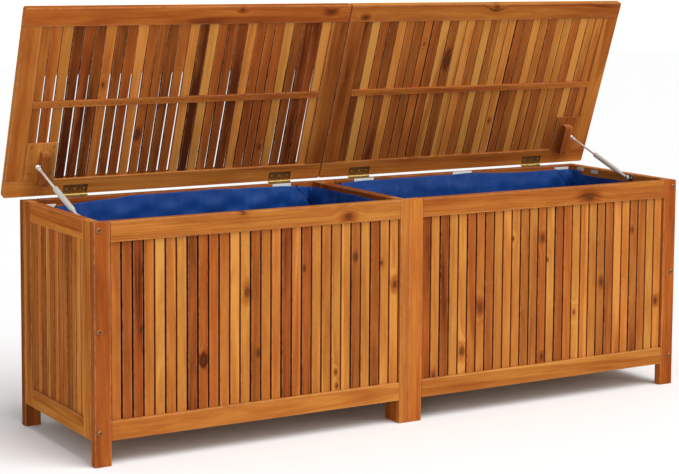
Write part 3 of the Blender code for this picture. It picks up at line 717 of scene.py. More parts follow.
@dataclass(frozen=True)
class AgedBrass:
    """Hinge brass: dull brown leaves and a brighter barrel."""

    name: str
    leaf: Colour
    barrel: Colour
    roughness: float = 0.46
    axis_y: float = float(HINGE_AXIS[1])
    axis_z: float = float(HINGE_AXIS[2])
    barrel_radius: float = 0.0031

    def material(self) -> bpy.types.Material:
        """The distance from the hinge's axis tells the barrel from the leaves."""
        bench = Bench(self.name)
        place = bench.add("TexCoord", {}).outputs["Object"]
        parts = bench.add("SeparateXYZ", {0: place}).outputs
        across = bench.number("SUBTRACT", parts[1], self.axis_y)
        above = bench.number("SUBTRACT", parts[2], self.axis_z)
        reach = bench.vector("LENGTH", bench.join(0.0, across, above), out="Value")
        near = bench.span(reach, self.barrel_radius, self.barrel_radius + 0.0012, 1.0, 0.0)
        cloud = bench.span(bench.noise(place, 260.0, 4.0, 0.6).outputs["Fac"], 0.35, 0.65, 0.55, 1.0)
        colour = bench.mix(near, self.leaf, self.barrel)
        colour = bench.mix(1.0, colour, bench.join(cloud, cloud, cloud), "MULTIPLY")
        bench.bump(cloud, 0.12, 0.0002)
        roughness = bench.number("MULTIPLY_ADD", cloud, -0.14, self.roughness + 0.12)
        return bench.finish(Base_Color=colour, Metallic=1.0, Roughness=roughness)


@dataclass(frozen=True)
class Paint:
    """Smooth paint or moulded plastic with faint orange peel and handling marks."""

    name: str
    colour: Colour
    mark: Colour
    roughness: float = 0.38

    def material(self) -> bpy.types.Material:
        """Handling marks are sparse, a little darker and duller than the paint."""
        bench = Bench(self.name)
        place = bench.add("TexCoord", {}).outputs["Object"]
        peel = bench.noise(place, 700.0, 2.0).outputs["Fac"]
        marks = bench.span(bench.noise(place, 85.0, 4.0, 0.7).outputs["Fac"], 0.55, 0.75)
        bench.bump(peel, 0.06, 0.0003)
        roughness = bench.number("MULTIPLY_ADD", marks, 0.2, self.roughness)
        colour = bench.mix(bench.number("MULTIPLY", marks, 0.5), self.colour, self.mark)
        return bench.finish(Base_Color=colour, Roughness=roughness, Metallic=0.0)


@dataclass(frozen=True)
class WovenTape:
    """Narrow woven tape, such as piping and hook-and-loop strips."""

    name: str
    colour: Colour
    pile: float = 1400.0

    def material(self) -> bpy.types.Material:
        """Short threads seen as a fine speckle that also lifts the surface."""
        bench = Bench(self.name)
        place = bench.add("TexCoord", {}).outputs["Object"]
        threads = bench.noise(place, self.pile, 2.0, 0.7).outputs["Fac"]
        darker = tuple(0.62 * channel for channel in self.colour)
        bench.bump(threads, 0.5, 0.0006)
        return bench.finish(Base_Color=bench.mix(bench.span(threads, 0.35, 0.6), darker, self.colour),
                            Roughness=0.85, Sheen_Weight=0.2)


@dataclass
class Workshop:
    """Every finish of the box, made once."""

    frame_wood: bpy.types.Material
    slat_wood: bpy.types.Material
    floor_wood: bpy.types.Material
    cloth: bpy.types.Material
    piping: bpy.types.Material
    tape: bpy.types.Material
    brass: bpy.types.Material
    hinge_brass: bpy.types.Material
    copper: bpy.types.Material
    steel: bpy.types.Material
    dark_steel: bpy.types.Material
    tube_paint: bpy.types.Material

    @classmethod
    def opened(cls) -> "Workshop":
        """Make all the finishes."""
        stain = (
            (0.0, (0.585, 0.255, 0.052)),
            (0.12, (0.505, 0.197, 0.036)),
            (0.34, (0.405, 0.134, 0.024)),
            (0.56, (0.310, 0.085, 0.016)),
            (0.78, (0.215, 0.055, 0.011)),
            (1.0, (0.080, 0.018, 0.006)),
        )
        pale = ((0.0, (0.50, 0.33, 0.17)), (0.5, (0.40, 0.23, 0.10)), (1.0, (0.25, 0.12, 0.05)))
        return cls(
            frame_wood=OiledHardwood("oiled_frame_wood", stain, streak=0.36, fine=0.26).material(),
            slat_wood=OiledHardwood("oiled_slat_wood", stain, streak=0.36, fine=0.24).material(),
            floor_wood=OiledHardwood("sawn_floor_wood", pale, roughness=0.62).material(),
            cloth=CoatedCloth("blue_coated_cloth", (0.0060, 0.054, 0.250), (0.0065, 0.042, 0.200)).material(),
            piping=WovenTape("black_piping", (0.012, 0.013, 0.016)).material(),
            tape=WovenTape("white_tape", (0.78, 0.78, 0.76)).material(),
            brass=Metal("brass_screw", (0.50, 0.32, 0.13), (0.24, 0.13, 0.05), 0.36).material(),
            hinge_brass=AgedBrass("aged_hinge_brass", (0.30, 0.17, 0.065), (0.62, 0.45, 0.15)).material(),
            copper=Metal("coppered_steel", (0.30, 0.15, 0.06), (0.10, 0.05, 0.022), 0.42, 0.6).material(),
            steel=Metal("bright_steel", (0.80, 0.76, 0.72), (0.50, 0.46, 0.42), 0.30, 0.2, 0.45).material(),
            dark_steel=Metal("dark_plated_steel", (0.20, 0.17, 0.15), (0.08, 0.06, 0.05), 0.38).material(),
            tube_paint=Paint("pale_grey_paint", (0.52, 0.50, 0.45), (0.44, 0.42, 0.36), 0.34).material(),
        )


# The wooden parts

@dataclass
class Joiner:
    """Cuts boards to the frame's nodes and gives each its grain."""

    shop: Workshop
    datum: Datum = FLOOR_DATUM

    def from_node(self, node: str, run: Axis, across: Axis, tone: float, seed: int, **shape: object) -> Board:
        """A board that fills a node's box.

        Args:
            node: Name of the frame node.
            run: Direction of its grain.
            across: Direction of its width.
            tone: How dark it is.
            seed: Number that settles its grain.
            **shape: Further fields of the board.

        Returns:
            The board.
        """
        low, high = self.datum.extent(node)
        return Board(low, high, run, across, tone, seed, **shape)

    def make(self, name: str, boards: Sequence[Board], material: bpy.types.Material, body: str,
             slot: str, stands_for: Sequence[str]) -> bpy.types.Object:
        """Join boards into one piece that rides on a body."""
        surface = Surface.joined([board.surface(self.datum) for board in boards])
        return make_piece(name, surface, material, body, stands_for)


@dataclass
class SlatField:
    """Slats side by side between two rails, each with its own tone, width and set."""

    node: str
    tones: str
    run: Axis
    across: Axis
    gap: float
    tongue: float
    seed: int
    knots: dict[int, Knots] = field(default_factory=dict)
    edge: float = 0.0016
    jitter: float = 0.0002
    flare: float = 0.0
    twist: float = 0.006
    thickness: Optional[tuple[float, float]] = None
    # Painted shade on the first half of each slat.
    darker_start: float = 0.0
    # Painted shade on the slats' sides, in the gaps between them.
    grime: float = 0.45
    # Painted light and shade: the whole field's tone is shifted, darker or lighter, to set how lit its face
    # looks.
    tone_shift: float = 0.0
    evenness: float = 0.0
    shoulder: float = 0.0
    openings: str = ""

    def boards(self, datum: Datum) -> list[Board]:
        """Cut the field into slats.

        Each slat starts after the widths and gaps before it. Its edges wander by the jitter, and
        it is wider at one end by the flare. From the shoulder on, slats close up to a hairline.

        Args:
            datum: What the node is measured from.

        Returns:
            The slats, from the low side to the high side.
        """
        low, high = datum.extent(self.node)
        rng = np.random.default_rng(self.seed)
        run, across = self.run.value, self.across.value
        depth = 3 - run - across
        if self.thickness:
            low[depth], high[depth] = self.thickness
        low[run] += self.tongue
        high[run] -= self.tongue
        count = len(self.tones)
        gaps = np.full(count - 1, self.gap)
        if self.openings:
            gaps *= [OPENING_LETTERS[letter].value for letter in self.openings]
        width = (high[across] - low[across] - gaps.sum()) / count
        starts = low[across] + np.arange(count) * width + np.concatenate([[0.0], np.cumsum(gaps)])
        closing = np.maximum((np.concatenate([[0.0], gaps, [0.0]]) - SHOULDER_GAP) / 2, 0.0)
        made = []
        for number, (letter, start) in enumerate(zip(self.tones, starts)):
            first, last = low.copy(), high.copy()
            first[across] = start + rng.uniform(-self.jitter, self.jitter)
            last[across] = start + width + rng.uniform(-self.jitter, self.jitter)
            tone = TONE_LETTERS[letter].value
            tone += self.tone_shift + self.evenness * (MIDDLE_TONE - tone)
            tone += rng.uniform(-TONE_SPREAD, TONE_SPREAD)
            tone = float(np.clip(tone, 0.0, 1.0))
            made.append(Board(
                first, last, self.run, self.across, tone, self.seed * 97 + number, edge=self.edge,
                band=0.0014, taper=self.flare * rng.uniform(0.6, 1.4), sway=self.jitter * 0.6,
                twist=rng.uniform(-self.twist, self.twist), knots=self.knots.get(number, ()),
                darker_start=self.darker_start, grime=self.grime,
                shoulder=self.shoulder, closing=(float(closing[number]), float(closing[number + 1])),
            ))
        return made


@dataclass
class LongWall:
    """Front or rear wall: posts, rails and two fields of slats."""

    side: str
    joiner: Joiner
    left_tones: str
    right_tones: str
    post_tones: tuple[float, float, float] = (0.76, 0.32, 0.54)
    rail_tones: tuple[float, float, float, float] = (0.36, 0.38, 0.46, 0.42)
    left_knots: dict[int, Knots] = field(default_factory=dict)
    right_knots: dict[int, Knots] = field(default_factory=dict)
    rail_knots: dict[str, Knots] = field(default_factory=dict)
    seed: int = 100

    def build(self) -> None:
        """Make the posts, then the rails, then the slats."""
        shop = self.joiner.shop
        posts = zip(("left_post", "middle_stile", "right_post"), self.post_tones)
        for number, (part, tone) in enumerate(posts):
            node = f"{self.side}_{part}"
            board = self.joiner.from_node(node, Axis.UP, Axis.ALONG, tone, self.seed + number)
            self.joiner.make(f"{node}_board", [board], shop.frame_wood, "box", "frame_wood", [node])
        rails = ("left_top_rail", "left_bottom_rail", "right_top_rail", "right_bottom_rail")
        for number, (part, tone) in enumerate(zip(rails, self.rail_tones)):
            node = f"{self.side}_{part}"
            board = self.joiner.from_node(node, Axis.ALONG, Axis.UP, tone, self.seed + 10 + number,
                                          knots=self.rail_knots.get(part, ()))
            self.joiner.make(f"{node}_board", [board], shop.frame_wood, "box", "frame_wood", [node])
        for bay, tones, knots in (("left", self.left_tones, self.left_knots),
                                  ("right", self.right_tones, self.right_knots)):
            node = f"{self.side}_{bay}_slats"
            slats = SlatField(node, tones, Axis.UP, Axis.ALONG, WALL_SLAT_GAP, SLAT_TONGUE,
                              # Painted light: the wall's slats are darkened as a whole.
                              self.seed + (31 if bay == "left" else 32), knots, tone_shift=0.09, evenness=0.2)
            self.joiner.make(f"{node}_boards", slats.boards(self.joiner.datum), shop.slat_wood, "box",
                             "slat_wood", [node])


@dataclass
class EndFrame:
    """Framed end of the box: two stiles, two rails and its slats."""

    hand: Hand
    joiner: Joiner
    tones: str
    stile_tones: tuple[float, float] = (0.52, 0.60)
    rail_tones: tuple[float, float] = (0.50, 0.56)
    seed: int = 300

    def build(self) -> None:
        """Make the stiles, rails and slats."""
        shop = self.joiner.shop
        side = self.hand.word
        plan = (
            ("front_stile", Axis.UP, Axis.BACK, self.stile_tones[0]),
            ("rear_stile", Axis.UP, Axis.BACK, self.stile_tones[1]),
            ("top_rail", Axis.BACK, Axis.UP, self.rail_tones[0]),
            ("bottom_rail", Axis.BACK, Axis.UP, self.rail_tones[1]),
        )
        for number, (part, run, across, tone) in enumerate(plan):
            node = f"{side}_end_{part}"
            board = self.joiner.from_node(node, run, across, tone, self.seed + number)
            self.joiner.make(f"{node}_board", [board], shop.frame_wood, "box", "frame_wood", [node])
        node = f"{side}_end_slats"
        slats = SlatField(node, self.tones, Axis.UP, Axis.BACK, WALL_SLAT_GAP, SLAT_TONGUE, self.seed + 40)
        self.joiner.make(f"{node}_boards", slats.boards(self.joiner.datum), shop.slat_wood, "box",
                         "slat_wood", [node])


@dataclass
class Divider:
    """Framed divider between the bays, whose front stile shows in the front wall."""

    joiner: Joiner
    tones: str
    stile_width: float = 0.065
    rail_height: float = 0.046
    foot_clearance: float = 0.057
    seed: int = 500

    def build(self) -> None:
        """Make the frame as four boards, and the slats."""
        shop = self.joiner.shop
        low, high = self.joiner.datum.extent("divider_frame")
        near, far = low[1] + self.stile_width, high[1] - self.stile_width
        bottom_end = self.foot_clearance + self.rail_height - 0.002
        boards = [
            Board(low, (high[0], near, high[2]), Axis.UP, Axis.BACK, 0.50, self.seed),
            Board((low[0], far, low[2]), high, Axis.UP, Axis.BACK, 0.62, self.seed + 1),
            Board((low[0], near, high[2] - self.rail_height), (high[0], far, high[2]), Axis.BACK, Axis.UP,
                  0.66, self.seed + 2),
            Board((low[0], near, self.foot_clearance), (high[0], far, bottom_end), Axis.BACK, Axis.UP,
                  0.60, self.seed + 3),
        ]
        self.joiner.make("divider_frame_boards", boards, shop.frame_wood, "box", "frame_wood",
                         ["divider_frame"])
        slats = SlatField("divider_slats", self.tones, Axis.UP, Axis.BACK, WALL_SLAT_GAP, SLAT_TONGUE,
                          self.seed + 9)
        self.joiner.make("divider_slat_boards", slats.boards(self.joiner.datum), shop.slat_wood, "box",
                         "slat_wood", ["divider_slats"])


@dataclass
class BayFloor:
    """Floor boards across a bay on two battens."""

    hand: Hand
    joiner: Joiner
    pitch: float = 0.078
    gap: float = 0.008
    board_thickness: float = 0.010
    batten_width: float = 0.030
    batten_offset: float = 0.06
    seed: int = 700

    def build(self) -> None:
        """Make the boards and the battens as one piece."""
        node = f"{self.hand.word}_floor"
        low, high = self.joiner.datum.extent(node)
        count = round((high[0] - low[0]) / self.pitch)
        width = (high[0] - low[0] - (count - 1) * self.gap) / count
        base = high[2] - self.board_thickness
        rng = np.random.default_rng(self.seed)
        boards = []
        for number in range(count):
            start = low[0] + number * (width + self.gap)
            boards.append(Board((start, low[1], base), (start + width, high[1], high[2]), Axis.BACK,
                                Axis.ALONG, rng.uniform(0.15, 0.7), self.seed + number, edge=0.0012))
        for number, middle in enumerate((low[1] + self.batten_offset, high[1] - self.batten_offset)):
            near, far = middle - self.batten_width / 2, middle + self.batten_width / 2
            boards.append(Board((low[0] + 0.002, near, low[2]), (high[0] - 0.002, far, base), Axis.ALONG,
                                Axis.BACK, 0.5, self.seed + 50 + number, edge=0.0012))
        self.joiner.make(f"{node}_boards", boards, self.joiner.shop.floor_wood, "box", "floor_wood", [node])


@dataclass
class Lid:
    """One lid: framed slats with a batten across them and a block for its gas strut.

    Its datum starts on the hinge axis: ALONG the axis, BACK from the hinge to the free edge over
    the lid, and UP through its thickness to the show face.
    """

    hand: Hand
    joiner: Joiner
    tones: str
    knots: dict[int, Knots] = field(default_factory=dict)
    rail_knots: Knots = ()
    slat_gap: float = 0.0035
    shoulder: float = 0.0
    openings: str = ""
    slat_thickness: tuple[float, float] = (0.008, 0.016)
    corner: float = 0.006
    jitter: float = 0.0004
    flare: float = 0.0012
    hinge_rail_tone: float = 0.26
    free_rail_tone: float = 0.52
    stile_tones: tuple[float, float] = (0.34, 0.68)
    mount_tone: float = 0.34
    batten: tuple[float, float] = (0.232, 0.249)
    plate_start: float = 0.0433
    plate_under: float = 0.0015
    block_sides: tuple[float, float] = (0.020, 0.044)
    block_ends: tuple[float, float] = (0.0348, 0.120)
    block_top: float = 0.0027
    seed: int = 800

    def build(self) -> None:
        """Make the rails, stiles, slats with their batten, and the strut's mount."""
        self.rails()
        self.stiles()
        self.slats()
        self.mount()

    def rails(self) -> None:
        """The two rails, whose ends are the lid's rounded corners."""
        shop = self.joiner.shop
        name = f"{self.hand.word}_lid"
        outer_start = self.hand is Hand.LEFT
        near = self.corner if outer_start else self.corner * 0.4
        far = self.corner * 0.4 if outer_start else self.corner
        hinge = self.joiner.from_node(f"{name}_hinge_rail", Axis.ALONG, Axis.BACK, self.hinge_rail_tone,
                                      self.seed, corner_radii=(near, 0.0, far, 0.0))
        free = self.joiner.from_node(f"{name}_free_rail", Axis.ALONG, Axis.BACK, self.free_rail_tone,
                                     self.seed + 1, corner_radii=(0.0, near, 0.0, far), knots=self.rail_knots)
        for part, board in (("hinge_rail", hinge), ("free_rail", free)):
            self.joiner.make(f"{name}_{part}_board", [board], shop.frame_wood, name, "frame_wood",
                             [f"{name}_{part}"])

    def stiles(self) -> None:
        """The two short stiles between the rails."""
        name = f"{self.hand.word}_lid"
        for number, part in enumerate(("outer_stile", "inner_stile")):
            board = self.joiner.from_node(f"{name}_{part}", Axis.BACK, Axis.ALONG, self.stile_tones[number],
                                          self.seed + 3 + number)
            self.joiner.make(f"{name}_{part}_board", [board], self.joiner.shop.frame_wood, name,
                             "frame_wood", [f"{name}_{part}"])

    def slats(self) -> None:
        """The slats and the batten that ties them."""
        name = f"{self.hand.word}_lid"
        node = f"{name}_slats"
        low, high = self.joiner.datum.extent(node)
        # Painted shade darkens the hinge half of each slat, and painted light lifts the whole field's tone.
        slats = SlatField(node, self.tones, Axis.BACK, Axis.ALONG, self.slat_gap, SLAT_TONGUE, self.seed + 11,
                          self.knots, jitter=self.jitter, flare=self.flare, thickness=self.slat_thickness,
                          darker_start=0.04, tone_shift=-0.04, shoulder=self.shoulder, openings=self.openings)
        self.joiner.make(f"{name}_slat_boards", slats.boards(self.joiner.datum), self.joiner.shop.slat_wood,
                         name, "slat_wood", [node])
        start, end = self.batten
        batten = Board((low[0], start, low[2]), (high[0], end, self.slat_thickness[0] + 0.0005),
                       Axis.ALONG, Axis.BACK, 0.50, self.seed + 21, edge=0.001)
        self.joiner.make(f"{name}_batten_board", [batten], self.joiner.shop.frame_wood, name, "slat_wood", [])

    def mount(self) -> None:
        """Plate over the slats and the block that carries the strut's stud."""
        name = f"{self.hand.word}_lid"
        node = f"{name}_strut_mount"
        low, high = self.joiner.datum.extent(node)
        near, far = self.block_sides
        if self.hand is Hand.LEFT:
            start, end = high[0] - far, high[0] - near
        else:
            start, end = low[0] + near, low[0] + far
        plate = Board((low[0], self.plate_start, self.plate_under), high, Axis.BACK, Axis.ALONG,
                      self.mount_tone, self.seed + 31, edge=0.001)
        body = Board((start, self.block_ends[0], low[2]), (end, self.block_ends[1], self.block_top),
                     Axis.BACK, Axis.UP, 0.60, self.seed + 32, edge=0.0016,
                     corner_radii=(0.004, 0.0, 0.006, 0.0))
        self.joiner.make(f"{node}_boards", [plate, body], self.joiner.shop.frame_wood, name, "frame_wood",
                         [node])


# Turned and pressed metal

def turned(outline: Sequence[tuple[float, float]], centre: np.ndarray, axis: np.ndarray, sides: int = 24,
           lobes: Optional[np.ndarray] = None) -> Surface:
    """A turned surface: each outline point is carried round the axis at its radius.

    A point's place is the centre plus its height along the axis plus its radius times the
    cosine and sine of the turn along two directions square to the axis.

    Args:
        outline: Radius and height, from the low pole to the high pole, with no point on the axis.
        centre: Where height nought lies.
        axis: Unit direction of growing height.
        sides: Points round the axis.
        lobes: Share of the radius by outline point and turn, for sockets and slots.

    Returns:
        A closed surface.
    """
    axis = np.asarray(axis, float) / np.linalg.norm(axis)
    helper = np.array([1.0, 0.0, 0.0]) if abs(axis[0]) < 0.9 else np.array([0.0, 1.0, 0.0])
    first = np.cross(axis, helper)
    first /= np.linalg.norm(first)
    second = np.cross(axis, first)
    turn = np.arange(sides) * TAU / sides
    shape = np.array(outline, float)
    radius = np.repeat(shape[:, :1], sides, axis=1)
    if lobes is not None:
        radius = radius * lobes
    circle = np.cos(turn)[:, None] * first + np.sin(turn)[:, None] * second
    points = radius[:, :, None] * circle + shape[:, 1][:, None, None] * axis + np.asarray(centre, float)
    steps = np.gradient(shape, axis=0)
    rise = np.stack([steps[:, 1], -steps[:, 0]], axis=1)
    rise /= np.maximum(np.linalg.norm(rise, axis=1, keepdims=True), 1e-12)
    normals = rise[:, 0][:, None, None] * circle + rise[:, 1][:, None, None] * axis
    faces = ring_faces(len(shape), sides) + end_faces(len(shape), sides)
    return Surface(points.reshape(-1, 3), normals.reshape(-1, 3), faces)


def hexagon_share(sides: int) -> np.ndarray:
    """Radius of a hexagon by turn, as a share of its corner radius."""
    turn = np.arange(sides) * TAU / sides
    return math.cos(math.pi / 6) / np.cos((turn % (math.pi / 3)) - math.pi / 6)


def cross_share(sides: int, arm: float = 0.30) -> np.ndarray:
    """Radius of a cross by turn, as a share of its arm's reach: the lesser of one and the arm's side."""
    turn = np.arange(sides) * TAU / sides
    nearest = (turn + math.pi / 4) % (math.pi / 2) - math.pi / 4
    return np.minimum(1.0, arm / np.maximum(np.abs(np.sin(nearest)), 1e-6)) * np.maximum(np.cos(nearest), 0.5)


@dataclass(frozen=True)
class SocketBolt:
    """Round-headed bolt with a hexagonal socket."""

    radius: float = 0.0068
    height: float = 0.0024
    socket: float = 0.0036
    sides: int = 24

    def surface(self, centre: np.ndarray, axis: np.ndarray) -> Surface:
        """The head above the wood, with its socket sunk in."""
        r, h, s = self.radius, self.height, self.socket
        outline = [
            (r * 0.5, -0.001), (r * 0.98, -0.0008), (r, 0.0002), (r * 0.96, h * 0.45), (r * 0.82, h * 0.82),
            (r * 0.64, h), (s * 1.12, h), (s, h * 0.9), (s * 0.98, -0.0004), (s * 0.4, -0.0006),
        ]
        lobes = np.ones((len(outline), self.sides))
        lobes[6:] = hexagon_share(self.sides)
        return turned(outline, centre, axis, self.sides, lobes)


@dataclass(frozen=True)
class CrossScrew:
    """Small countersunk screw with a cross slot."""

    radius: float = 0.0028
    height: float = 0.0004
    sides: int = 16

    def surface(self, centre: np.ndarray, axis: np.ndarray) -> Surface:
        """The head, nearly flush with what it holds."""
        r, h = self.radius, self.height
        outline = [
            (r * 0.5, -0.001), (r * 0.98, -0.0006), (r, 0.0), (r * 0.9, h), (r * 0.62, h * 1.25),
            (r * 0.55, h * 0.8), (r * 0.40, -0.0008), (r * 0.1, -0.0009),
        ]
        lobes = np.ones((len(outline), self.sides))
        lobes[4:7] = cross_share(self.sides)
        return turned(outline, centre, axis, self.sides, lobes)


@dataclass
class GasStrut:
    """Gas strut between the end frame and the lid: bracket, cylinder and rod.

    It is measured along its own line from the foot's pivot to the stud.
    """

    hand: Hand
    shop: Workshop
    foot: tuple[float, float, float] = (0.801, -0.071885, 0.538)
    direction: tuple[float, float, float] = (0.0, 0.938591, 0.345032)
    length: float = 0.26107
    tube_radius: float = 0.0068
    tube_start: float = 0.036
    tube_end: float = 0.147
    rod_radius: float = 0.0029

    @property
    def pivot(self) -> np.ndarray:
        """The foot's pivot on this end of the box."""
        return np.array([self.hand.value * self.foot[0], self.foot[1], self.foot[2]])

    def build(self) -> None:
        """Make the bracket, the cylinder and the rod."""
        self.bracket()
        self.cylinder()
        self.rod()

    def across(self) -> np.ndarray:
        """Unit direction of the pins, outwards."""
        return np.array([float(self.hand.value), 0.0, 0.0])

    def bracket(self) -> None:
        """Pressed plate on the end frame, with its ball pin and two screws."""
        node = f"{self.hand.word}_strut_bracket"
        low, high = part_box(node)
        out = self.across()
        plate_thickness = 0.002
        wall = high[0] if self.hand is Hand.RIGHT else low[0]
        inner = wall - self.hand.value * plate_thickness
        plate = rounded_plate(
            np.array([inner, (low[1] + high[1]) / 2, (low[2] + high[2]) / 2]), out,
            np.array([0.0, 1.0, 0.0]), (high[1] - low[1]) / 2, (high[2] - low[2]) / 2, plate_thickness, 0.004,
        )
        start = self.pivot - out * 0.0055
        pin = turned([(0.0012, 0.0), (0.0030, 0.0005), (0.0038, 0.0022), (0.0038, 0.0080), (0.0026, 0.0094),
                      (0.0022, 0.0118)], start, out, 20)
        make_piece(f"{node}_plate", Surface.joined([plate, pin]), self.shop.dark_steel, "box",
                   [node])
        screw = CrossScrew(radius=0.0022)
        spots = [np.array([inner, self.pivot[1] + step, self.pivot[2]]) for step in (-0.0095, 0.0095)]
        heads = Surface.joined([screw.surface(spot, -out) for spot in spots])
        make_piece(f"{node}_screws", heads, self.shop.steel, "box")

    def cylinder(self) -> None:
        """Painted tube with a moulded ball socket on a thin neck."""
        node = f"{self.hand.word}_strut_cylinder"
        r, a, b, bore = self.tube_radius, self.tube_start, self.tube_end, self.rod_radius
        axis = np.array(self.direction)
        tube = turned([
            (0.0018, 0.0052), (0.0033, 0.0056), (0.0034, a - 0.012), (0.0048, a - 0.008), (0.0052, a - 0.003),
            (r * 0.72, a), (r * 0.92, a + 0.0012), (r, a + 0.004), (r, a + 0.03), (r, b - 0.03),
            (r, b - 0.007), (r * 0.94, b - 0.0055), (r * 0.94, b - 0.0042), (r, b - 0.0028),
            (r * 0.93, b - 0.0008), (r * 0.6, b), (r * 0.48, b), (bore * 1.12, b - 0.0006),
            (bore * 1.1, b - 0.004), (bore * 1.1, a + 0.034), (0.0006, a + 0.0338),
        ], self.pivot, axis, 32)
        ball = turned([
            (0.0036, -0.0036), (0.0056, -0.0034), (0.0066, -0.0024), (0.0070, 0.0), (0.0066, 0.0024),
            (0.0056, 0.0034), (0.0046, 0.0036), (0.0044, 0.0030), (0.0010, 0.0029),
        ], self.pivot, self.across(), 28)
        make_piece(f"{node}_tube", Surface.joined([tube, ball]), self.shop.tube_paint,
                   f"{self.hand.word}_cylinder", [node])

    def rod(self) -> None:
        """Bright rod with its eye and the stud that it turns on."""
        node = f"{self.hand.word}_strut_rod"
        axis = np.array(self.direction)
        out = self.across()
        end = self.pivot + axis * self.length
        r, a, b = self.rod_radius, self.tube_end, self.length
        rod = turned([
            (r * 0.8, a - 0.0036), (r, a - 0.003), (r, a + 0.03), (r, b - 0.018), (r * 1.02, b - 0.0165),
            (r * 1.5, b - 0.016), (r * 1.55, b - 0.0075), (r * 1.3, b - 0.0045), (r * 0.8, b - 0.004),
        ], self.pivot, axis, 20)
        eye = turned([(0.0020, -0.0036), (0.0050, -0.0035), (0.0056, -0.0026), (0.0056, 0.0026),
                      (0.0050, 0.0035), (0.0036, 0.0036)], end, out, 24)
        stud = turned([(0.0026, -0.0064), (0.0058, -0.0062), (0.0060, -0.0050), (0.0058, -0.0046),
                       (0.0036, -0.0045), (0.0036, 0.0046), (0.0028, 0.0052), (0.0010, 0.0054)], end, out, 20)
        make_piece(f"{node}_bar", Surface.joined([rod, eye, stud]), self.shop.steel,
                   f"{self.hand.word}_rod", [node])


def rounded_plate(centre: np.ndarray, normal: np.ndarray, wide: np.ndarray, half_width: float,
                  half_height: float, thickness: float, corner: float, steps: int = 6) -> Surface:
    """A flat plate with rounded corners and broken edges, from one face towards its normal.

    Its outline is the four corner circles joined by straight sides. The outline is carried from
    one face to the other and is a little smaller on both faces.

    Args:
        centre: Middle of the face that the normal points away from.
        normal: Unit direction through the thickness.
        wide: Unit direction of the width.
        half_width: Half the width.
        half_height: Half the height.
        thickness: Thickness.
        corner: Radius of the corners.
        steps: Points on each corner.

    Returns:
        A closed surface.
    """
    tall = np.cross(normal, wide)
    quarter = math.pi / 2
    turn = np.concatenate([np.linspace(0.0, quarter, steps) + number * quarter for number in range(4)])
    signs = np.repeat(np.array([[1, 1], [-1, 1], [-1, -1], [1, -1]], float), steps, axis=0)
    middle = signs * np.array([half_width - corner, half_height - corner])
    round_ = np.stack([np.cos(turn), np.sin(turn)], axis=1)
    chamfer = min(0.0003, thickness / 4)
    rings = [(corner - chamfer, 0.0), (corner, chamfer), (corner, thickness - chamfer),
             (corner - chamfer, thickness)]
    points, normals = [], []
    for number, (radius, height) in enumerate(rings):
        flat = middle + round_ * radius
        points.append(centre + flat[:, :1] * wide + flat[:, 1:] * tall + height * normal)
        lean = -1.0 if number == 0 else (1.0 if number == 3 else 0.0)
        way = round_[:, :1] * wide + round_[:, 1:] * tall
        normals.append(normal * lean + way * (0.25 if lean else 1.0))
    count = len(turn)
    faces = ring_faces(len(rings), count) + end_faces(len(rings), count)
    stacked = np.concatenate(normals)
    stacked /= np.linalg.norm(stacked, axis=1, keepdims=True)
    return Surface(np.concatenate(points), stacked, faces)


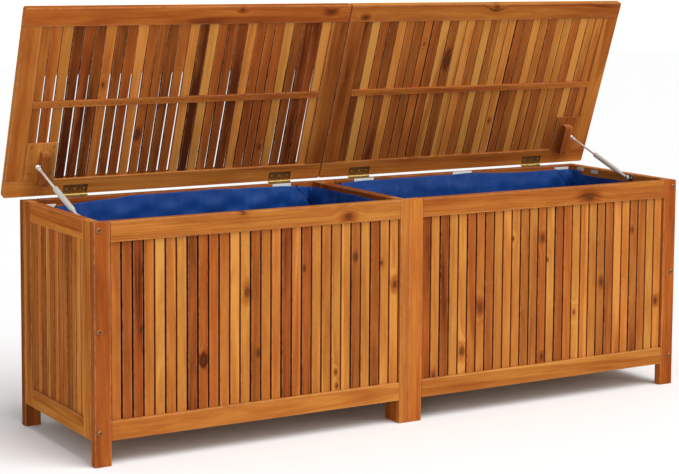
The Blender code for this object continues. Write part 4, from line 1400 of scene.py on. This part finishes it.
@dataclass
class Fixings:
    """Bolts, screws and pins that hold the box together."""

    shop: Workshop
    bolt_heights: tuple[float, ...] = (0.077, 0.304, 0.530)
    bolt_inset: float = 0.0115
    pin_share: tuple[float, float] = (0.4, 0.75)
    pin_place: tuple[float, float] = (0.0490, 0.008)
    leaf_shares: tuple[float, ...] = (0.14, 0.5, 0.86)
    leaf_middle: float = 0.0145
    leaf_thickness: float = 0.0025

    def build(self, lids: Sequence[Lid]) -> None:
        """Put in the post bolts, each lid's screws and pins, and the hinge screws."""
        self.post_bolts()
        for lid in lids:
            self.batten_screws(lid)
            self.mount_screws(lid)
            self.slat_pins(lid)
        self.hinge_screws()

    def post_bolts(self) -> None:
        """Three bolts up each corner post, front and rear."""
        bolt = SocketBolt()
        heads = []
        for side, facing in (("front", -1.0), ("rear", 1.0)):
            for hand in Hand:
                low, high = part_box(f"{side}_{hand.word}_post")
                x = low[0] + self.bolt_inset if hand is Hand.LEFT else high[0] - self.bolt_inset
                y = low[1] if facing < 0 else high[1]
                for height in self.bolt_heights:
                    heads.append(bolt.surface(np.array([x, y, height]), np.array([0.0, facing, 0.0])))
        make_piece("post_bolts", Surface.joined(heads), self.shop.copper, "box")

    def on_lid(self, spots: np.ndarray, screw: CrossScrew) -> Surface:
        """Screws driven into a lid's underside at points of its datum."""
        down = LID_DATUM.turned(np.array([0.0, 0.0, -1.0]))
        return Surface.joined([screw.surface(point, down) for point in LID_DATUM.world(spots)])

    def batten_screws(self, lid: Lid) -> None:
        """One screw through the batten into each slat."""
        name = f"{lid.hand.word}_lid"
        low, high = LID_DATUM.extent(f"{name}_slats")
        count = len(lid.tones)
        rng = np.random.default_rng(lid.seed + 60)
        pitch = (high[0] - low[0]) / count
        x = low[0] + (np.arange(count) + 0.5) * pitch + rng.uniform(-0.003, 0.003, count)
        y = sum(lid.batten) / 2 + rng.uniform(-0.0015, 0.0015, count)
        spots = np.stack([x, y, np.full(count, low[2])], axis=1)
        make_piece(f"{name}_batten_screws", self.on_lid(spots, CrossScrew(radius=0.0022)), self.shop.copper,
                   name)

    def mount_screws(self, lid: Lid) -> None:
        """Screws of the strut's plate and block."""
        name = f"{lid.hand.word}_lid"
        low, high = LID_DATUM.extent(f"{name}_strut_mount")
        edge = (low[0] + 0.010, high[0] - 0.010)
        spots = [(x, y, lid.plate_under) for x in edge for y in (0.062, 0.132)]
        middle = sum(lid.block_sides) / 2
        centre = high[0] - middle if lid.hand is Hand.LEFT else low[0] + middle
        spots += [(centre, y, low[2]) for y in (0.044, 0.108)]
        make_piece(f"{name}_mount_screws", self.on_lid(np.array(spots), CrossScrew(radius=0.0026)),
                   self.shop.copper, name)

    def slat_pins(self, lid: Lid) -> None:
        """Pin heads in the hinge rail at the slats' ends."""
        name = f"{lid.hand.word}_lid"
        low, high = LID_DATUM.extent(f"{name}_slats")
        count = len(lid.tones)
        pitch = (high[0] - low[0]) / count
        rng = np.random.default_rng(lid.seed + 70)
        numbers = np.flatnonzero(rng.uniform(0.0, 1.0, count) < self.pin_share[lid.hand is Hand.RIGHT])
        x = low[0] + (numbers + 0.5) * pitch + rng.uniform(-0.004, 0.004, len(numbers))
        spots = np.stack([x, *(np.full(len(numbers), place) for place in self.pin_place)], axis=1)
        pin = CrossScrew(radius=0.0012, height=0.0005, sides=10)
        make_piece(f"{name}_slat_pins", self.on_lid(spots, pin), self.shop.copper, name)

    def hinge_screws(self) -> None:
        """Three screws in every hinge leaf."""
        screw = CrossScrew(radius=0.0026, height=0.0003)
        for hand in Hand:
            lid_spots, box_spots = [], []
            for which in ("outer", "inner"):
                low, high = LID_DATUM.extent(f"{hand.word}_{which}_hinge_lid_leaf")
                width = high[0] - low[0]
                lid_spots += [(low[0] + width * share, self.leaf_middle, self.leaf_thickness)
                              for share in self.leaf_shares]
                low, high = FLOOR_DATUM.extent(f"{hand.word}_{which}_hinge_box_leaf")
                box_spots += [(low[0] + width * share, HINGE_AXIS[1] - self.leaf_middle,
                               HINGE_AXIS[2] - self.leaf_thickness) for share in self.leaf_shares]
            name = f"{hand.word}_lid"
            make_piece(f"{name}_hinge_screws", self.on_lid(np.array(lid_spots), screw), self.shop.brass, name)
            up = np.array([0.0, 0.0, 1.0])
            heads = Surface.joined([screw.surface(np.array(spot), up) for spot in box_spots])
            make_piece(f"{hand.word}_rim_hinge_screws", heads, self.shop.brass, "box")


# The cloth liners

def welt(path: np.ndarray, facing: np.ndarray, half_width: float, half_height: float,
         looped: bool = False, sides: int = 8) -> Surface:
    """A flattened cord laid along a path on a surface.

    Its section is an ellipse: the path's point plus half the width times the cosine of the turn
    along the sideways direction, plus half the height times its sine along the facing.

    Args:
        path: Points along the cord's middle.
        facing: Unit direction away from the surface at each point.
        half_width: Half the width over the surface.
        half_height: Half the height above the surface.
        looped: Whether the last point leads back to the first.
        sides: Points round the section.

    Returns:
        A closed surface.
    """
    ahead = np.roll(path, -1, axis=0) - np.roll(path, 1, axis=0) if looped else np.gradient(path, axis=0)
    sideways = np.cross(facing, ahead)
    sideways /= np.maximum(np.linalg.norm(sideways, axis=1, keepdims=True), 1e-12)
    turn = np.arange(sides) * TAU / sides
    cos, sin = np.cos(turn)[None, :, None], np.sin(turn)[None, :, None]
    points = path[:, None] + half_width * cos * sideways[:, None] + half_height * sin * facing[:, None]
    normals = cos / half_width * sideways[:, None] + sin / half_height * facing[:, None]
    normals /= np.linalg.norm(normals, axis=2, keepdims=True)
    faces = ring_faces(len(path), sides, flip=True)
    if looped:
        last = (len(path) - 1) * sides
        step = np.arange(sides)
        following = (step + 1) % sides
        faces += np.stack([last + step, step, following, last + following], axis=1).tolist()
    else:
        faces += end_faces(len(path), sides, flip=True)
    return Surface(points.reshape(-1, 3), normals.reshape(-1, 3), faces)


@dataclass
class Liner:
    """Loose cloth bag that hangs in a bay from tabs at its rim.

    Distances along the rear wall are measured from the bag's left side.
    """

    hand: Hand
    shop: Workshop
    seed: int
    rear_rim: tuple[tuple[float, float], ...]
    rear_tabs: tuple[tuple[float, float], ...]
    end_tabs: tuple[tuple[float, float, float], ...] = ()
    rim_at_end: float = 0.5262
    rim_at_divider: float = 0.5372
    corner: float = 0.020
    slack: float = 0.009
    columns: tuple[int, int] = (120, 64)
    bend: int = 8
    rows: int = 48
    floor_rows: int = 18
    foot: float = 0.030
    thickness: float = 0.0008
    wall_clearance: float = 0.0012
    corner_pull: float = 0.015
    end_corner_pull: float = 0.034
    seam_lead: float = 0.050
    seam_drop: float = 0.060
    rear_start: float = 0.060
    rear_blend: float = 0.025
    floor_clearance: float = 0.0016
    tab_rise: float = 0.0052
    tab_half_height: float = 0.0086
    tab_thickness: float = 0.0008

    @property
    def node(self) -> str:
        """Name of the frame node that the bag replaces."""
        return f"{self.hand.word}_liner"

    def outline(self) -> tuple[np.ndarray, np.ndarray, np.ndarray]:
        """Points round the bay's rounded rectangle, counter-clockwise from the front-left corner.

        Returns:
            Points in plan, their inward directions and their distance round the outline.
        """
        low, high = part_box(self.node)
        margin = self.thickness
        x0, x1, y0, y1 = low[0] + margin, high[0] - margin, low[1] + margin, high[1] - margin
        r = self.corner
        long_count, short_count = self.columns
        runs = [
            (np.array([x0 + r, y0]), np.array([x1 - r, y0]), long_count, -math.pi / 2),
            (np.array([x1, y0 + r]), np.array([x1, y1 - r]), short_count, 0.0),
            (np.array([x1 - r, y1]), np.array([x0 + r, y1]), long_count, math.pi / 2),
            (np.array([x0, y1 - r]), np.array([x0, y0 + r]), short_count, math.pi),
        ]
        points, inward = [], []
        for start, end, count, facing in runs:
            share = np.linspace(0.0, 1.0, count, endpoint=False)[:, None]
            points.append(start + (end - start) * share)
            way = np.array([math.cos(facing), math.sin(facing)])
            inward.append(np.repeat(-way[None, :], count, axis=0))
            turn = facing + np.linspace(0.0, math.pi / 2, self.bend, endpoint=False)
            centre = end - way * r
            round_ = np.stack([np.cos(turn), np.sin(turn)], axis=1)
            points.append(centre + round_ * r)
            inward.append(-round_)
        flat = np.concatenate(points)
        steps = np.linalg.norm(np.roll(flat, -1, axis=0) - flat, axis=1)
        return flat, np.concatenate(inward), np.concatenate([[0.0], np.cumsum(steps)])

    def corners(self, around: np.ndarray) -> tuple[np.ndarray, np.ndarray]:
        """Distance round the outline of the four corners, and which way the long wall lies from each."""
        long_count, short_count = self.columns
        counts = np.cumsum([long_count, self.bend + short_count] * 2)
        counts += np.array([0, 0, self.bend, self.bend])
        return around[counts + self.bend // 2], np.array([-1.0, 1.0, -1.0, 1.0])

    def folds(self, around: np.ndarray, down: np.ndarray) -> np.ndarray:
        """How far the cloth stands in from the wall.

        Slow waves round the bay grow with depth, sharper folds fan out below the rim, and small
        dimples cross them: each is a sum of sines with seeded waves and phases.

        Args:
            around: Share of the way round, one to a column.
            down: Share of the way down, one to a row.

        Returns:
            Distances of at least nought, rows by columns.
        """
        rng = np.random.default_rng(self.seed)
        u, v = np.meshgrid(around, down)
        total = np.zeros_like(u)
        for wave in range(2, 12):
            phase, lean = rng.uniform(0.0, TAU), rng.uniform(-1.6, 1.6)
            total += np.sin(TAU * wave * u + phase + lean * v) * (0.35 + v) / wave**0.8
        sharp = np.zeros_like(u)
        for _ in range(9):
            wave = int(rng.integers(9, 32))
            phase, lean = rng.uniform(0.0, TAU), rng.uniform(-5.0, 5.0)
            crest = np.sin(TAU * wave * u + phase + lean * v)
            sharp += (1.0 - np.abs(crest)) ** 3 * np.exp(-((v - rng.uniform(0.0, 0.7)) / 0.35) ** 2)
        cross = np.zeros_like(u)
        for _ in range(6):
            wave, drop = int(rng.integers(6, 26)), rng.uniform(5.0, 16.0)
            around_wave = np.sin(TAU * wave * u + rng.uniform(0.0, TAU))
            cross += around_wave * np.sin(drop * v * 3.0 + rng.uniform(0, TAU))
        out = self.slack * (0.50 + 0.22 * total) + 0.0030 * sharp + 0.0009 * cross
        fade = np.clip(v / 0.08, 0.0, 1.0)
        return np.clip(out, 0.0, None) * (0.15 + 0.85 * fade)

    def creases(self, distance: np.ndarray, depth: np.ndarray) -> np.ndarray:
        """Short creases that fan out from a pulled corner.

        Each is the cube of one less a sine's size, along lines that lean with the depth, and all
        fade as bell curves of the distance and of the depth.
        """
        rng = np.random.default_rng(self.seed + 3)
        total = np.zeros_like(distance * depth)
        for _ in range(4):
            wave, lean = rng.uniform(38.0, 95.0), rng.uniform(-70.0, 70.0)
            crest = np.sin(wave * distance + lean * depth + rng.uniform(0.0, TAU))
            total += (1.0 - np.abs(crest)) ** 3
        below_rim = np.clip(depth / 0.015, 0.0, 1.0)
        return 0.0030 * below_rim * total * np.exp(-((distance / 0.10) ** 2) - ((depth - 0.035) / 0.045) ** 2)

    def rim(self, flat: np.ndarray) -> np.ndarray:
        """Height of the rim at points in plan.

        It falls evenly from the divider to the end, where it passes under the strut, and is held
        higher along the rear wall.
        """
        low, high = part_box(self.node)
        heights = (self.rim_at_end, self.rim_at_divider)
        sides = np.interp(flat[:, 0], (low[0], high[0]), heights if self.hand is Hand.LEFT else heights[::-1])
        places, rear_heights = np.array(self.rear_rim).T
        rear = np.interp(flat[:, 0] - low[0], places, rear_heights)
        share = smooth_step((flat[:, 1] - high[1] + self.rear_start) / self.rear_blend)
        return sides + (rear - sides) * share

    def surface(self) -> tuple[Surface, np.ndarray, np.ndarray]:
        """The bag: wall rows from the rim down, a rounded foot, and floor rows to a middle line.

        Returns:
            The surface, its points as rows by columns, and the distance round its outline.
        """
        flat, inward, around = self.outline()
        low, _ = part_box(self.node)
        base = low[2] + self.floor_clearance
        down = np.linspace(0.0, 1.0, self.rows) ** 1.3
        rng = np.random.default_rng(self.seed + 5)
        turn = np.linspace(0.0, TAU, len(flat), endpoint=False)
        rim = self.rim(flat)
        for wave in (5, 9, 14, 23):
            rim -= 0.0003 * (1.0 + np.sin(wave * turn + rng.uniform(0.0, TAU)))
        height = rim + (base + self.foot - rim) * down[:, None]
        depth = rim - height
        plan = flat + inward * self.folds(around[:-1] / around[-1], down)[:, :, None]
        pulls = np.full(4, self.corner_pull)
        pulls[1 if self.hand is Hand.RIGHT else 2] = self.end_corner_pull
        for place, side, reach in zip(*self.corners(around), pulls):
            apart = (around[:-1] - place + around[-1] / 2) % around[-1] - around[-1] / 2
            pull = reach * np.exp(-((apart / (0.022 + reach)) ** 2) - (depth / 0.05) ** 2)
            pull += self.creases(-apart * side, depth)
            plan += inward * pull[:, :, None]
        rings = [np.concatenate([plan, height[:, :, None]], axis=2)]
        last = plan[-1]
        for angle in np.radians([22.0, 45.0, 68.0, 90.0]):
            ring = last + inward * self.foot * (1.0 - math.cos(angle))
            level = np.full((len(flat), 1), base + self.foot * (1.0 - math.sin(angle)))
            rings.append(np.concatenate([ring, level], axis=1)[None])
        floor_edge = rings[-1][0, :, :2]
        half_depth = (flat[:, 1].max() - flat[:, 1].min()) / 2
        spine_x = np.clip(floor_edge[:, 0], flat[:, 0].min() + half_depth, flat[:, 0].max() - half_depth)
        spine = np.stack([spine_x, np.full(len(flat), (flat[:, 1].min() + flat[:, 1].max()) / 2)], axis=1)
        for share in np.linspace(0.0, 0.985, self.floor_rows)[1:]:
            ring = floor_edge + (spine - floor_edge) * share
            ripple = np.sin(ring[:, 0] * 31.0 + ring[:, 1] * 17.0) * np.cos(ring[:, 1] * 43.0)
            ripple = 0.0012 * (1.0 + ripple)
            level = base + ripple * min(1.0, share * 6.0)
            rings.append(np.concatenate([ring, level[:, None]], axis=1)[None])
        grid = np.concatenate(rings)
        count = len(flat)
        faces = ring_faces(len(grid), count, flip=True)
        faces.append(end_faces(len(grid), count, flip=True)[1])
        return Surface(grid.reshape(-1, 3), grid_normals(grid), faces), grid, around

    def seams(self, grid: np.ndarray, around: np.ndarray) -> list[Surface]:
        """Piping down the four corners of the bag.

        A seam starts beside its corner on the long wall, reaches the corner at the seam's drop, and
        follows it down.
        """
        walls = grid[:self.rows]
        facing = grid_normals(grid).reshape(grid.shape)[:self.rows]
        rows = np.arange(self.rows)
        made = []
        for place, side in zip(*self.corners(around)):
            depth = walls[0, 0, 2] - walls[:, 0, 2]
            lead = self.seam_lead * np.clip(1.0 - depth / self.seam_drop, 0.0, 1.0) ** 1.3
            spot = np.interp((place + side * lead) % around[-1], around, np.arange(len(around)))
            first = np.floor(spot).astype(int) % grid.shape[1]
            after = (first + 1) % grid.shape[1]
            share = (spot - np.floor(spot))[:, None]
            path = walls[rows, first] * (1.0 - share) + walls[rows, after] * share
            way = facing[rows, first] * (1.0 - share) + facing[rows, after] * share
            way /= np.linalg.norm(way, axis=1, keepdims=True)
            made.append(welt(path + way * 0.0026, way, 0.0052, 0.0036))
        return made

    def tabs(self) -> list[Surface]:
        """White tabs on the walls behind the rim."""
        low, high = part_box(self.node)
        made = []
        rear_face = high[1] + self.wall_clearance - 0.0002 - self.tab_thickness
        for start, end in self.rear_tabs:
            middle = low[0] + (start + end) / 2
            rim = self.rim(np.array([[middle, high[1]]]))[0]
            centre = np.array([middle, rear_face, rim + self.tab_rise - self.tab_half_height])
            made.append(rounded_plate(centre, np.array([0.0, 1.0, 0.0]), np.array([1.0, 0.0, 0.0]),
                                      (end - start) / 2, self.tab_half_height, self.tab_thickness, 0.0012))
        out = float(self.hand.value)
        wall = (high[0] if self.hand is Hand.RIGHT else low[0]) + out * self.wall_clearance
        for start, end, top in self.end_tabs:
            centre = np.array([wall - out * (0.0002 + self.tab_thickness), (start + end) / 2, top - 0.005])
            made.append(rounded_plate(centre, np.array([out, 0.0, 0.0]), np.array([0.0, 1.0, 0.0]),
                                      (end - start) / 2, 0.005, self.tab_thickness, 0.0012))
        return made

    def build(self) -> None:
        """Make the bag with its hem, piping and tabs, and give the bag its cloth thickness."""
        surface, grid, around = self.surface()
        bag = make_piece(f"{self.node}_bag", surface, self.shop.cloth, "box", [self.node])
        solid = bag.modifiers.new("cloth_thickness", "SOLIDIFY")
        solid.thickness = self.thickness
        solid.offset = -1.0
        facing = grid_normals(grid).reshape(grid.shape)[0]
        hem_path = grid[0] - np.array([0.0, 0.0, 0.0046]) + facing * 0.0005
        hem = make_piece(f"{self.node}_hem", welt(hem_path, facing, 0.0044, 0.0007, looped=True),
                         self.shop.cloth, "box")
        piping = make_piece(f"{self.node}_piping", Surface.joined(self.seams(grid, around)),
                            self.shop.piping, "box")
        tabs = make_piece(f"{self.node}_tabs", Surface.joined(self.tabs()), self.shop.tape, "box")


def grid_normals(grid: np.ndarray) -> np.ndarray:
    """Outward normals of a closed-round grid: the cross product of its two running differences."""
    round_ = np.roll(grid, -1, axis=1) - np.roll(grid, 1, axis=1)
    down = np.gradient(grid, axis=0)
    normals = -np.cross(round_, down)
    length = np.linalg.norm(normals, axis=2, keepdims=True)
    return (normals / np.maximum(length, 1e-12)).reshape(-1, 3)


@dataclass
class Hinges:
    """Brass leaves and barrels, which keep the frame's own shapes."""

    shop: Workshop

    def build(self) -> None:
        """Plate every leaf with brass."""
        for hand in Hand:
            for which in ("outer", "inner"):
                for part in ("box_leaf", "lid_leaf"):
                    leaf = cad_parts[f"{hand.word}_{which}_hinge_{part}"]
                    leaf.data.materials.clear()
                    leaf.data.materials.append(self.shop.hinge_brass)
                    LOG.info("%s: brass", leaf.name)


@dataclass(frozen=True)
class SoftLamp:
    """Square lamp that faces a point."""

    name: str
    place: tuple[float, float, float]
    aim: tuple[float, float, float]
    size: float
    power: float

    def hang(self) -> None:
        """Put the lamp up with its face turned to its aim."""
        data = bpy.data.lights.new(self.name, "AREA")
        data.size = self.size
        data.energy = self.power
        stand(data, np.array(self.place) - np.array(self.aim), [0.0, 0.0, 1.0], self.place)


@dataclass
class Studio:
    """Pale floor, soft lamps and the camera."""

    place: tuple[float, float, float] = (-2.4014, -3.8416, 1.1178)
    yaw: float = 0.5312
    pitch: float = 0.0984
    roll: float = 0.0049
    lens: float = 95.95
    shift: tuple[float, float] = (0.039, -0.143)
    backdrop: tuple[float, float, float] = (1.30, 1.10, 1.0)
    air_strength: float = 0.44
    gloss_strength: float = 1.0
    ceiling_strength: float = 2.3
    ceiling_angle: float = math.radians(45.0)
    ceiling_way: tuple[float, float, float] = (0.9, -2.0, 3.6)
    floor_half: float = 14.0
    soft_lamps: tuple[SoftLamp, ...] = (
        SoftLamp("fill_lamp", (-3.5, -3.9, 1.7), (0.0, 0.0, 0.55), 2.2, 46.0),
        SoftLamp("side_lamp", (3.2, -3.8, 1.6), (0.3, 0.0, 0.5), 1.6, 26.0),
    )

    def build(self) -> None:
        """Lay the floor, hang the lamps and set the camera."""
        self.floor()
        self.lamps()
        self.camera()

    def floor(self) -> None:
        """A wide pale floor."""
        half = self.floor_half
        corners = [(-half, -half, 0.0), (half, -half, 0.0), (half, half, 0.0), (-half, half, 0.0)]
        mesh = bpy.data.meshes.new("studio_floor")
        mesh.from_pydata(corners, [], [(0, 1, 2, 3)])
        bench = Bench("pale_floor")
        mesh.materials.append(bench.finish(Base_Color=(0.92, 0.92, 0.92), Roughness=0.9,
                                           Specular_IOR_Level=0.1))
        floor = bpy.data.objects.new("studio_floor", mesh)
        bpy.context.scene.collection.objects.link(floor)

    def lamps(self) -> None:
        """White surroundings, soft lamps before the box and a wide light from above.

        The surroundings have one strength for light that falls on the box, one for reflections,
        and full strength and the backdrop's colour where the camera sees them.
        """
        world = bpy.data.worlds.new("studio_air")
        world.use_nodes = True
        nodes, links = world.node_tree.nodes, world.node_tree.links
        air = nodes["Background"]
        seen = nodes.new("ShaderNodeLightPath").outputs
        colour = nodes.new("ShaderNodeMix")
        colour.data_type = "RGBA"
        colour.inputs[6].default_value = (1.0, 1.0, 1.0, 1.0)
        colour.inputs[7].default_value = (*self.backdrop, 1.0)
        links.new(seen["Is Camera Ray"], colour.inputs["Factor"])
        links.new(colour.outputs[2], air.inputs["Color"])
        gloss = nodes.new("ShaderNodeMapRange")
        gloss.inputs["To Min"].default_value = self.air_strength
        gloss.inputs["To Max"].default_value = self.gloss_strength
        links.new(seen["Is Glossy Ray"], gloss.inputs["Value"])
        strength = nodes.new("ShaderNodeMapRange")
        links.new(gloss.outputs[0], strength.inputs["To Min"])
        links.new(seen["Is Camera Ray"], strength.inputs["Value"])
        links.new(strength.outputs[0], air.inputs["Strength"])
        bpy.context.scene.world = world
        bpy.context.scene.view_settings.view_transform = "Standard"
        for lamp in self.soft_lamps:
            lamp.hang()
        data = bpy.data.lights.new("ceiling_light", "SUN")
        data.energy = self.ceiling_strength
        data.angle = self.ceiling_angle
        stand(data, np.array(self.ceiling_way), [0.0, 1.0, 0.0], self.ceiling_way)

    def camera(self) -> None:
        """Stand the camera before the box's left end and look a little down."""
        forward = np.array([math.sin(self.yaw) * math.cos(self.pitch),
                            math.cos(self.yaw) * math.cos(self.pitch), -math.sin(self.pitch)])
        right = np.array([math.cos(self.yaw), -math.sin(self.yaw), 0.0])
        up = np.cross(right, forward)
        level, tilt = math.cos(self.roll), math.sin(self.roll)
        data = bpy.data.cameras.new("camera")
        data.lens = self.lens
        data.shift_x, data.shift_y = self.shift
        data.clip_end = 60.0
        camera = bpy.data.objects.new("camera", data)
        bpy.context.scene.collection.objects.link(camera)
        camera.matrix_world = basis_matrix(right * level + up * tilt, up * level - right * tilt, -forward,
                                           self.place)
        bpy.context.scene.camera = camera


def stand(data: bpy.types.Light, back: np.ndarray, aside: Sequence[float], place: Sequence[float]) -> None:
    """Stand a light at a place with its back along a direction and its side square to another.

    Args:
        data: The light.
        back: Direction from what it faces to the light.
        aside: Direction that its side is square to.
        place: Where it stands.
    """
    light = bpy.data.objects.new(data.name, data)
    bpy.context.scene.collection.objects.link(light)
    back = back / np.linalg.norm(back)
    side = np.cross(aside, back)
    side /= np.linalg.norm(side)
    light.matrix_world = basis_matrix(side, np.cross(back, side), back, place)


def basis_matrix(x: np.ndarray, y: np.ndarray, z: np.ndarray, place: Sequence[float]) -> Matrix:
    """A placement whose columns are three directions and a place."""
    matrix = np.eye(4)
    matrix[:3, 0], matrix[:3, 1], matrix[:3, 2], matrix[:3, 3] = x, y, z, place
    return Matrix(matrix.tolist())


def main() -> None:
    """Build the box, dress it and set up the studio."""
    logging.basicConfig(level=logging.INFO, format="%(message)s")
    shop = Workshop.opened()
    carcass = Joiner(shop)
    lid_joiner = Joiner(shop, LID_DATUM)
    front_left_knots = {
        2: ((0.20, 0.018, 0.0022),), 8: ((0.115, 0.010, 0.0065),), 12: ((0.262, 0.016, 0.0100),),
        13: ((0.118, 0.019, 0.0050),), 18: ((0.305, 0.004, 0.0035),),
        21: ((0.048, 0.012, 0.0038), (0.014, 0.015, 0.0040)),
        23: ((0.322, 0.009, 0.0050),), 26: ((0.300, 0.003, 0.0050),), 27: ((0.245, 0.014, 0.0070),),
    }
    front_right_knots = {
        1: ((0.008, 0.010, 0.0060),), 4: ((0.060, 0.012, 0.0100),), 6: ((0.165, 0.010, 0.0075),),
        10: ((0.330, 0.002, 0.0040),), 13: ((0.325, 0.012, 0.0060), (0.020, 0.015, 0.0065)),
        14: ((0.268, 0.002, 0.0030),), 17: ((0.125, 0.008, 0.0060),), 20: ((0.196, 0.014, 0.0075),),
        24: ((0.325, 0.006, 0.0040),), 27: ((0.130, 0.008, 0.0070),),
    }
    front_rail_knots = {
        "left_top_rail": ((0.612, 0.018, 0.0090), (0.33, 0.044, 0.0035)),
        "right_top_rail": ((0.512, 0.016, 0.0125),),
    }
    LongWall("front", carcass, "ACCAHAHDCAAHHCAHDHCHAAHCHDHA", "CHDHHCACHAHAACHCHHHHAAHHCAHH",
             left_knots=front_left_knots, right_knots=front_right_knots, rail_knots=front_rail_knots).build()
    LongWall("rear", carcass, "CAHDCAAHCHDAHCAACHHDCAHACHAC", "HACCHADHCAAHHCDAHCHACAHHCDAC", seed=200,
             rail_tones=(0.60, 0.50, 0.62, 0.50)).build()
    EndFrame(Hand.LEFT, carcass, "HHACACACHCAC", stile_tones=(0.22, 0.45), rail_tones=(0.36, 0.45)).build()
    EndFrame(Hand.RIGHT, carcass, "CAHCDAHCAHDC", seed=400).build()
    Divider(carcass, "CDACADCADCAC").build()
    BayFloor(Hand.LEFT, carcass).build()
    BayFloor(Hand.RIGHT, carcass, seed=760).build()
    left_lid = Lid(
        Hand.LEFT, lid_joiner, "CCAWDDADDHCCDCHWHCDWHCCCHDDDH",
        knots={6: ((0.245, 0.010, 0.0055),), 10: ((0.110, 0.008, 0.0060),), 23: ((0.058, 0.012, 0.0050),)},
        rail_knots=((0.562, 0.036, 0.0045), (0.815, 0.030, 0.0075)),
        flare=0.0014, free_rail_tone=0.66, hinge_rail_tone=0.20, shoulder=0.68,
        openings="wwfwwtwwwftfwwttttwttttffwtw",
    )
    right_lid = Lid(
        Hand.RIGHT, lid_joiner, "DHCDHCCACHDHHCHCHHCCHACAACHCA", seed=900, hinge_rail_tone=0.48,
        free_rail_tone=0.46, stile_tones=(0.56, 0.62), mount_tone=0.58,
        knots={7: ((0.332, 0.010, 0.0050),), 10: ((0.285, 0.016, 0.0110),), 17: ((0.100, 0.010, 0.0050),)},
        rail_knots=((0.450, 0.036, 0.0075), (0.045, 0.012, 0.0060)), jitter=0.0003, flare=0.0004,
        slat_gap=0.0034, openings="ttttttfftttttttttwttttttttft",
    )
    left_lid.build()
    right_lid.build()
    Hinges(shop).build()
    for hand in Hand:
        GasStrut(hand, shop).build()
    Fixings(shop).build([left_lid, right_lid])
    Liner(
        Hand.LEFT, shop, 21,
        rear_rim=((0.0, 0.527), (0.065, 0.5325), (0.125, 0.5365), (0.195, 0.5405), (0.26, 0.5450),
                  (0.325, 0.5460), (0.525, 0.5455), (0.675, 0.5435), (0.71, 0.5415), (0.7736, 0.5375)),
        rear_tabs=((0.017, 0.059), (0.654, 0.708)),
    ).build()
    Liner(
        Hand.RIGHT, shop, 22,
        rear_rim=((0.0, 0.5375), (0.05, 0.5395), (0.085, 0.5425), (0.12, 0.5432), (0.47, 0.5445),
                  (0.53, 0.5410), (0.58, 0.5390), (0.68, 0.5370), (0.75, 0.5385), (0.8176, 0.5365)),
        rear_tabs=((0.099, 0.160), (0.414, 0.477), (0.763, 0.812)),
        end_tabs=((0.125, 0.154, 0.5450), (0.064, 0.092, 0.5430)), end_corner_pull=0.0,
    ).build()
    Studio().build()


if __name__ == "__main__":
    main()
